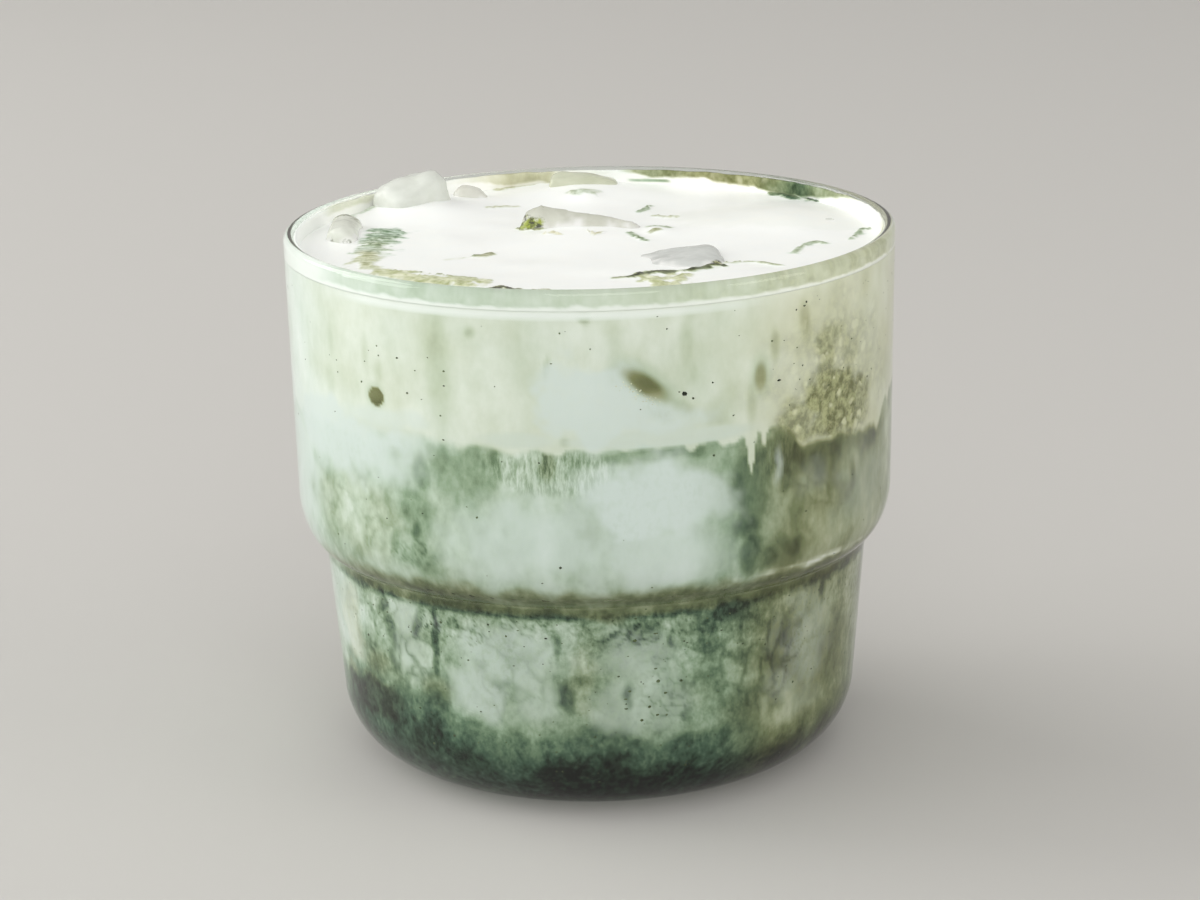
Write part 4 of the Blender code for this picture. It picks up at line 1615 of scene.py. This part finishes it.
@dataclass
class WallFilm:
    """The skin of milk and froth that clings to the wall between the drink and the rim.

    Looks has a direction in degrees with the mugwort's strength there, how warm its green is,
    how much of it is bubbly froth and the height in millimetres above which it is stained.
    Dashes are darker strokes, with a direction, half a width in degrees and a strength.
    """

    tumbler: Tumbler
    low: float = 76.5 * MM
    high: float = 79.25 * MM
    bite: float = 0.16 * MM
    inset: float = 0.20 * MM
    columns: int = 720
    rows: int = 14
    middle_radius: float = 43 * MM
    top_waver: float = 0.08 * MM
    lower_lip: float = 0.05 * MM
    looks: tuple = (
        (-180, 0.03, 0.10, 0.0, 76.8), (-152, 0.05, 0.10, 0.0, 76.8), (-140, 0.26, 0.10, 0.0, 77.0),
        (-118, 0.32, 0.15, 0.0, 77.0), (-88, 0.28, 0.30, 0.0, 77.0), (-62, 0.32, 0.45, 0.1, 77.0),
        (-45, 0.34, 0.70, 0.2, 76.9), (-20, 0.34, 0.75, 0.2, 76.9), (-6, 0.24, 0.70, 0.1, 76.9),
        (6, 0.06, 0.40, 0.0, 77.5), (16, 0.08, 0.40, 0.0, 79.0), (24, 0.50, 0.60, 0.1, 79.0),
        (30, 0.56, 0.50, 0.1, 78.2), (35, 0.60, 0.40, 0.1, 77.6), (39.5, 0.72, 0.25, 0.0, 77.2),
        (43.5, 0.70, 0.35, 0.0, 77.2), (47, 0.66, 0.55, 0.2, 77.3), (56, 0.62, 0.85, 0.4, 77.8),
        (65, 0.58, 0.90, 0.4, 78.3),
        (74, 0.62, 0.60, 0.2, 78.1), (80, 0.52, 0.60, 0.1, 78.6), (84, 0.10, 0.20, 0.0, 78.8),
        (95, 0.10, 0.60, 0.0, 78.4), (98, 0.36, 0.90, 0.1, 77.6), (108, 0.38, 0.92, 0.1, 77.4),
        (112, 0.26, 0.90, 0.0, 78.0), (120, 0.08, 0.60, 0.0, 78.6), (136, 0.06, 0.30, 0.0, 78.6),
        (142, 0.26, 0.70, 0.1, 78.3), (155, 0.28, 0.60, 0.1, 78.3), (160, 0.06, 0.30, 0.0, 78.6),
        (180, 0.03, 0.10, 0.0, 76.8),
    )
    bare_strength: float = 0.03
    smear_turn: float = 0.6
    smear_height: float = 0.30
    smear_strength: float = 0.12
    dashes: tuple = ((78.4, 3.4, 0.44), (73.8, 1.8, 0.50))
    dash_height: float = 77.65
    dash_half_height: float = 0.28
    smear: Noise = Noise(2.0 * MM, 83, 3)

    def wall(self, heights: np.ndarray, inset: float) -> np.ndarray:
        """Radius of the wall's inside, which turns outwards again over the rim's own round.

        Args:
            heights: Heights in metres.
            inset: How far inside the glass to stay; below 0 it runs in the glass.

        Returns:
            Radii in metres.
        """
        half = self.tumbler.rim_wall / 2
        above = np.clip(heights - (self.tumbler.height - half), 0, 0.95 * half)
        bend = half - np.sqrt(half * half - above * above)
        return self.tumbler.wall_radius(heights, inset) + bend

    def build(self) -> bpy.types.Object:
        """Build the film as a thin closed ring that bites into the glass.

        Returns:
            The film.
        """
        turns = np.arange(self.columns) * math.tau / self.columns
        shares = np.linspace(0, 1, self.rows)[:, None]
        crest = around(self.middle_radius, turns, 0.0)
        top = self.high + self.top_waver * self.smear.at(crest)
        down = top + (self.low - top) * shares
        up = down[::-1] - self.lower_lip * (1 - shares)
        heights = np.concatenate([down, up])
        radii = np.concatenate([self.wall(down, -self.bite), self.wall(up, self.inset)])
        points = around(radii, turns, heights).reshape(-1, 3)
        film = mesh_object("wall_film", points, ring_faces(2 * self.rows, self.columns, looped=True))
        for name, values in self.masks(points).items():
            set_attribute(film, name, values)
        film.data.materials.append(DrinkFinish("drink_film").material())
        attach(film, "root")
        return film

    def masks(self, points: np.ndarray) -> dict[str, np.ndarray]:
        """Work out what the material reads on the film.

        Args:
            points: Rows of x, y, z.

        Returns:
            Each mask by its name, one number for each point.
        """
        turns, heights = np.degrees(np.arctan2(points[:, 1], points[:, 0])), points[:, 2] / MM
        smear = self.smear.at(points)
        places, *columns = np.array(self.looks).T
        shifted = turns + self.smear_turn * smear
        strength, warm, froth, start = [np.interp(shifted, places, column) for column in columns]
        start = start + self.smear_height * smear
        stained = strength * (1 + self.smear_strength * smear) - self.bare_strength
        strength = self.bare_strength + stained * smooth_step(heights, start - 0.15, start + 0.35)
        for turn, half_turn, tone in self.dashes:
            far = np.hypot((turns - turn) / half_turn, (heights - self.dash_height) / self.dash_half_height)
            dash = 1 - smooth_step(far + 0.3 * smear, 0.6, 1.2)
            strength += (tone - strength) * dash
            warm = warm * (1 - dash)
        nothing = np.zeros(len(points))
        return {
            "strength": np.clip(strength, 0, 1),
            "warm": np.clip(warm, 0, 1),
            "icy": nothing,
            "froth": np.clip(froth * (1 + smear), 0, 1) * smooth_step(strength, 0.1, 0.4),
            "speckled": np.clip(strength, 0, 1),
            "streaky": nothing,
            "marbled": np.clip(1.5 * strength, 0, 1),
        }


@dataclass
class Flecks:
    """Leaf flecks and cream dots of painted highlight on the wall, each a flat lens of twelve faces.

    The named ones have a direction in degrees, a height and a radius in millimetres and a shade,
    0 for cream, 0.5 for olive and 1 for nearly black.
    """

    tumbler: Tumbler
    marbling: Marbling
    named: tuple = (
        (-128.0, 68.4, 0.28, 0.78), (-124.0, 67.0, 0.18, 0.68), (-126.0, 63.6, 0.24, 0.68),
        (-122.8, 63.0, 0.18, 0.68), (-136.3, 67.0, 0.21, 0.68), (-132.5, 68.3, 0.17, 0.68),
        (-145.0, 66.0, 0.17, 0.58), (-144.8, 64.3, 0.16, 0.58), (-117.8, 67.4, 0.21, 0.58),
        (-97.3, 69.3, 0.21, 0.58), (-90.3, 71.3, 0.16, 0.68), (-74.3, 64.6, 0.22, 0.68),
        (-73.3, 64.3, 0.42, 1.00), (-71.7, 63.5, 0.21, 0.78), (-53.9, 64.2, 0.40, 1.00),
        (-46.2, 63.3, 0.20, 0.78), (-49.6, 68.3, 0.22, 0.58), (-33.6, 67.2, 0.24, 0.68),
        (-118.9, 61.0, 0.17, 0.58), (-84.5, 18.9, 0.27, 0.56), (-84.4, 17.4, 0.30, 0.56),
        (-83.6, 20.1, 0.24, 0.55), (-81.0, 15.5, 0.29, 0.56), (-79.4, 17.5, 0.29, 0.56),
        (-79.5, 19.0, 0.22, 0.55), (-77.6, 16.1, 0.26, 0.56), (-75.9, 19.4, 0.27, 0.56),
        (-75.6, 16.0, 0.24, 0.56), (-82.5, 27.8, 0.32, 0.56), (-78.1, 28.7, 0.34, 0.56),
        (-78.1, 23.3, 0.26, 0.56), (-77.5, 21.3, 0.30, 0.56), (-96.7, 40.1, 0.26, 0.90),
        (-114.3, 48.2, 0.20, 0.55), (-112.3, 46.8, 0.22, 0.55), (-109.5, 28.3, 0.22, 0.56),
    )
    # Painted highlight: cream dots that stand in for sparkles along the oval spot's lower left edge.
    painted_glints: int = 46
    painted_glint_middle: tuple[float, float] = (-81.4, 64.6)
    painted_glint_run: tuple[float, float] = (3.9, -1.6)
    painted_glint_spread: float = 0.35
    scattered: int = 900
    tries: int = 6
    heights: Span = (5.0, 75.5)
    share: float = 0.55
    smallest: float = 0.10
    largest: float = 0.25
    palest: float = 0.5
    darkest: float = 0.95
    ring_points: int = 6
    depth: float = 0.125 * MM
    thickness: float = 0.05 * MM
    seed: int = 5

    def scatter(self) -> np.ndarray:
        """Draw the places, sizes and shades of the flecks that have no name.

        Candidates are spread evenly and kept where a draw falls below the side's own share of
        specks. Cream dots of painted highlight follow the lower left edge of the tilted oval spot.

        Returns:
            Rows of direction, height, radius and shade.
        """
        draw = np.random.default_rng(self.seed)
        count = self.scattered * self.tries
        turns, heights = draw.uniform(-180, 180, count), draw.uniform(*self.heights, count)
        radii = self.tumbler.wall_radius(heights * MM)
        masks = self.marbling.masks(around(radii, np.radians(turns), heights * MM))
        share = masks["speckled"] ** 1.5 * (1 - 0.75 * masks["icy"]) * self.share
        size = self.smallest + (self.largest - self.smallest) * draw.random(count) ** 2
        shade = self.palest + (self.darkest - self.palest) * draw.random(count)
        kept = np.flatnonzero(draw.random(count) < share)[: self.scattered]
        loose = np.column_stack([turns, heights, size, shade])[kept]
        along = draw.uniform(-1, 1, self.painted_glints)
        painted_glints = np.column_stack([
            self.painted_glint_middle[0] + self.painted_glint_run[0] * along + draw.normal(0, self.painted_glint_spread, self.painted_glints),
            self.painted_glint_middle[1] + self.painted_glint_run[1] * along + draw.normal(0, self.painted_glint_spread, self.painted_glints),
            draw.uniform(0.07, 0.14, self.painted_glints),
            draw.uniform(0.0, 0.2, self.painted_glints),
        ])
        return np.concatenate([np.array(self.named), loose, painted_glints])

    def build(self) -> bpy.types.Object:
        """Lay every fleck on the drink's side: a ring of six points and two middles each.

        Returns:
            All the flecks as one object.
        """
        rows = self.scatter()
        draw = np.random.default_rng(self.seed + 1)
        count = len(rows)
        turns, heights = np.radians(rows[:, 0]), rows[:, 1] * MM
        radii = self.tumbler.wall_radius(heights, -self.depth)
        lean = np.arctan2(self.tumbler.wall_radius(heights + 0.2 * MM, -self.depth) - radii, 0.2 * MM)
        across = np.column_stack([-np.sin(turns), np.cos(turns), np.zeros(count)])
        climb = around(np.sin(lean), turns, np.cos(lean))
        facing = around(np.cos(lean), turns, -np.sin(lean))
        middle = around(radii, turns, heights)
        corners = self.ring_points
        angles = np.arange(corners) * math.tau / corners + draw.uniform(0, 1, (count, 1))
        reach = rows[:, 2:3] * MM * draw.uniform(0.65, 1.15, (count, corners))
        squash = draw.uniform(0.40, 0.95, (count, 1))
        ring = middle[:, None] + (reach * np.cos(angles))[..., None] * across[:, None]
        ring = ring + (reach * squash * np.sin(angles))[..., None] * climb[:, None]
        front = (middle + facing * self.thickness)[:, None]
        behind = (middle - facing * self.thickness)[:, None]
        points = np.concatenate([ring, front, behind], axis=1)
        start = np.arange(count)[:, None] * points.shape[1]
        one, shape = np.arange(corners), (count, corners)
        two = (one + 1) % corners
        near_side = [start + one, start + two, np.broadcast_to(start + corners, shape)]
        far_side = [start + two, start + one, np.broadcast_to(start + corners + 1, shape)]
        faces = np.concatenate([np.stack(side, axis=-1).reshape(-1, 3) for side in (near_side, far_side)])
        flecks = mesh_object("leaf_flecks", points.reshape(-1, 3), [tuple(face) for face in faces.tolist()])
        set_attribute(flecks, "shade", np.repeat(rows[:, 3], points.shape[1]))
        flecks.data.materials.append(FleckFinish().material())
        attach(flecks, "root")
        return flecks


# ---- Ice ----


ICE_STAINS = {
    "ice_ridge": (
        (-10.4, 8.1, 77.4, 1.2, 1.0), (-8.8, 8.0, 77.9, 1.3, 0.95), (-7.4, 8.0, 78.1, 1.0, 0.85),
        (-9.4, 9.4, 79.0, 0.6, 0.6), (-8.2, 10.1, 79.9, 0.5, 0.55), (-6.8, 10.1, 80.1, 0.5, 0.5),
    ),
    "ice_left": (
        (-39.4, 11.6, 79.3, 2.0, 0.60), (-37.0, 11.4, 79.6, 1.8, 0.65), (-34.6, 10.4, 79.4, 1.5, 0.65),
        (-38.4, 2.0, 77.2, 1.0, 0.55), (-36.0, 1.8, 77.1, 1.0, 0.55), (-33.8, 3.0, 77.1, 1.0, 0.5),
    ),
    "ice_front": ((18.2, -17.8, 77.2, 1.3, 0.6), (8.2, -17.2, 76.8, 1.5, 0.5)),
}
FAINT_STAIN = {"stain_pale": srgb(168, 172, 138), "stain_deep": srgb(112, 120, 92)}
ICE_TINTS = {
    "ice_left": {"bare": srgb(223, 226, 213), "clouded": srgb(238, 241, 230), **FAINT_STAIN},
    "ice_back": {"bare": srgb(206, 210, 184), "clouded": srgb(220, 223, 200)},
    "ice_back_left": {"bare": srgb(222, 226, 216), "clouded": srgb(235, 238, 230)},
    "ice_back_left_small": {"bare": srgb(222, 222, 210), "clouded": srgb(234, 234, 224)},
    "ice_ridge": {
        "bare": srgb(200, 201, 186), "clouded": srgb(220, 221, 208), "stain_pale": srgb(168, 182, 62),
    },
    "ice_front": {"bare": srgb(208, 211, 207), "clouded": srgb(222, 225, 221)},
}
ICE_WET_HEIGHT = 1.3 * MM
ICE_WET_HEIGHTS = {"ice_front": 0.5 * MM, "ice_ridge": 1.7 * MM}


@dataclass
class Ice:
    """One ice block: its CAD solid melted smooth, with hollows and ridges in its faces.

    Its stains, where it has any, have a place and a reach in millimetres and a strength.
    """

    node: str
    level: float
    seam: float = 0.005 * MM
    grain: float = 0.55 * MM
    melt: Noise = Noise(3.6 * MM, 71, 2)
    melt_depth: float = 0.32 * MM
    drip: Noise = Noise(1.5 * MM, 73, 2, (1.0, 1.0, 3.0))

    def build(self) -> bpy.types.Object:
        """Melt a copy of the node and stand it for the node.

        Returns:
            The new block.
        """
        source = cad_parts[self.node]
        block = bpy.data.objects.new("melted_" + self.node, source.data.copy())
        bpy.context.scene.collection.objects.link(block)
        form = bmesh.new()
        form.from_mesh(block.data)
        bmesh.ops.remove_doubles(form, verts=form.verts, dist=self.seam)
        form.to_mesh(block.data)
        form.free()
        self.remesh(block)
        points = mesh_points(block)
        normals = np.empty(len(points) * 3)
        block.data.vertices.foreach_get("normal", normals)
        points = points + normals.reshape(-1, 3) * (self.melt_depth * self.melt.at(points))[:, None]
        block.data.vertices.foreach_set("co", points.ravel())
        block.data.shade_smooth()
        wet = ICE_WET_HEIGHTS.get(self.node, ICE_WET_HEIGHT)
        above = points[:, 2] - self.level + 0.7 * wet * self.drip.at(points)
        set_attribute(block, "milky", 1 - smooth_step(above, 0, wet))
        stain = np.zeros(len(points))
        for x, y, z, reach, strength in ICE_STAINS.get(self.node, ()):
            far = np.linalg.norm(points / MM - (x, y, z), axis=1) / reach
            stain = np.maximum(stain, strength * np.exp(-far * far))
        set_attribute(block, "stain", stain)
        block.data.materials.clear()
        finish = IceFinish("wet_" + self.node, **ICE_TINTS.get(self.node, {}))
        block.data.materials.append(finish.material())
        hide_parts(self.node)
        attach(block, "root")
        return block

    def remesh(self, block: bpy.types.Object) -> None:
        """Voxel remesh and smooth a block, and apply both.

        Args:
            block: The block, whose mesh is changed.
        """
        voxels = block.modifiers.new("Voxels", "REMESH")
        voxels.mode = "VOXEL"
        voxels.voxel_size = self.grain
        soften = block.modifiers.new("Melt", "SMOOTH")
        soften.iterations = 6
        bpy.context.view_layer.update()
        evaluated = block.evaluated_get(bpy.context.evaluated_depsgraph_get())
        block.data = bpy.data.meshes.new_from_object(evaluated)
        block.modifiers.clear()


# ---- The studio ----


@dataclass
class Studio:
    """Camera, floor, lamps and sky.

    A lamp has its name, its place, what it points at, its side, its power in watts and its tint.
    """

    distance: float = 499.5 * MM
    elevation: float = 16.2
    roll: float = -1.305
    lens: float = 99.43
    frame_width: float = 1200.0
    frame_height: float = 900.0
    aim_x: float = 594.9
    aim_y: float = 482.2
    target_height: float = 39.85 * MM
    sensor: float = 36.0
    sky_span: Span = (-0.8, 0.8)
    sky_power: Span = (0.84, 0.68)
    lamps: tuple = (
        ("window", (-1.0, 0.5, 0.8), (0, 0, 0.05), 0.9, 6.5, SOFT_WHITE),
        ("front_fill", (0.1, -1.15, 0.8), (0, 0, 0.04), 0.9, 5.0, SOFT_WHITE),
        ("left_fill", (-1.3, -0.1, 0.4), (0, 0, 0.04), 0.8, 4.6, SOFT_WHITE),
        ("right_fill", (1.3, -0.5, 0.45), (0, 0, 0.04), 0.8, 3.4, (1.0, 0.96, 0.92)),
    )

    def add_camera(self) -> None:
        """Place the camera in front, a little above, and turned slightly about its own axis."""
        tilt = math.radians(self.elevation)
        forward = Vector((0, math.cos(tilt), -math.sin(tilt)))
        up = Vector((0, math.sin(tilt), math.cos(tilt)))
        turned = Matrix.Rotation(math.radians(self.roll), 3, -forward)
        axes = Matrix((turned @ Vector((1, 0, 0)), turned @ up, -forward)).transposed()
        data = bpy.data.cameras.new("camera")
        data.lens = self.lens
        data.sensor_width = self.sensor
        data.shift_x = (self.frame_width / 2 - self.aim_x) / self.frame_width
        data.shift_y = (self.aim_y - self.frame_height / 2) / self.frame_width
        camera = bpy.data.objects.new("camera", data)
        place = Vector((0, 0, self.target_height)) - forward * self.distance
        camera.matrix_world = Matrix.Translation(place) @ axes.to_4x4()
        bpy.context.scene.collection.objects.link(camera)
        bpy.context.scene.camera = camera

    def add_floor(self) -> None:
        """A plain pale floor that curves up far behind into a backdrop, a quarter of a circle."""
        turns = np.linspace(0, math.pi / 2, 12)
        bend, depth, width = 0.5, 1.2, 4.0
        run = [-3.0, 0.0] + list(depth + bend * np.sin(turns)) + [depth + bend]
        rise = [0.0, 0.0] + list(bend - bend * np.cos(turns)) + [3.0]
        points = np.array([[side * width, y, z] for y, z in zip(run, rise) for side in (-1, 1)])
        faces = [(2 * i, 2 * i + 1, 2 * i + 3, 2 * i + 2) for i in range(len(run) - 1)]
        floor = mesh_object("floor", points, faces)
        graph = Graph("pale_floor")
        settings = {"Base Color": srgb(196, 194, 190), "Roughness": 0.7, "Specular IOR Level": 0.2}
        floor.data.materials.append(graph.finish(graph.surface(settings)))

    def add_lamp(
        self, name: str, place: tuple, aim: tuple, size: float, power: float, tint: Colour
    ) -> None:
        """Add one square soft lamp.

        Args:
            name: The lamp's name.
            place: Where it hangs.
            aim: What it points at.
            size: Its side.
            power: Its power in watts.
            tint: Its colour.
        """
        data = bpy.data.lights.new(name, "AREA")
        data.shape = "SQUARE"
        data.size = size
        data.energy = power
        data.color = tint
        lamp = bpy.data.objects.new(name, data)
        lamp.location = place
        lamp.rotation_euler = (Vector(aim) - Vector(place)).to_track_quat("-Z", "Y").to_euler()
        bpy.context.scene.collection.objects.link(lamp)

    def add_sky(self) -> None:
        """A soft white surround, brighter to the left than to the right."""
        world = bpy.data.worlds.new("surround")
        world.use_nodes = True
        tree = world.node_tree
        tree.nodes.clear()
        place = tree.nodes.new("ShaderNodeTexCoord")
        split = tree.nodes.new("ShaderNodeSeparateXYZ")
        lean = tree.nodes.new("ShaderNodeMapRange")
        sky = tree.nodes.new("ShaderNodeBackground")
        output = tree.nodes.new("ShaderNodeOutputWorld")
        limits = dict(zip(("From Min", "From Max", "To Min", "To Max"), self.sky_span + self.sky_power))
        for limit, value in limits.items():
            lean.inputs[limit].default_value = value
        sky.inputs["Color"].default_value = WHITE
        tree.links.new(place.outputs["Generated"], split.inputs[0])
        tree.links.new(split.outputs["X"], lean.inputs["Value"])
        tree.links.new(lean.outputs["Result"], sky.inputs["Strength"])
        tree.links.new(sky.outputs[0], output.inputs["Surface"])
        bpy.context.scene.world = world

    def build(self) -> None:
        """Set up everything round the object."""
        bpy.context.scene.view_settings.view_transform = "Standard"
        self.add_camera()
        self.add_floor()
        self.add_sky()
        for lamp in self.lamps:
            self.add_lamp(*lamp)


def main() -> None:
    """Build the drink, its tumbler and the studio, and report each piece."""
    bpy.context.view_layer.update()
    Studio().build()
    tumbler = Tumbler()
    drink = Drink(tumbler)
    pieces = [tumbler.build(), drink.build_mugwort(), drink.build_latte(), drink.build_milk()]
    blocks = sorted(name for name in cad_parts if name.startswith("ice"))
    pieces += [Ice(node, drink.surface.level).build() for node in blocks]
    pieces += [WallFilm(tumbler).build(), Flecks(tumbler, drink.marbling).build()]
    for piece in pieces:
        LOG.info("%s: %d faces", piece.name, len(piece.data.polygons))


if __name__ == "__main__":
    logging.basicConfig(level=logging.INFO)
    main()
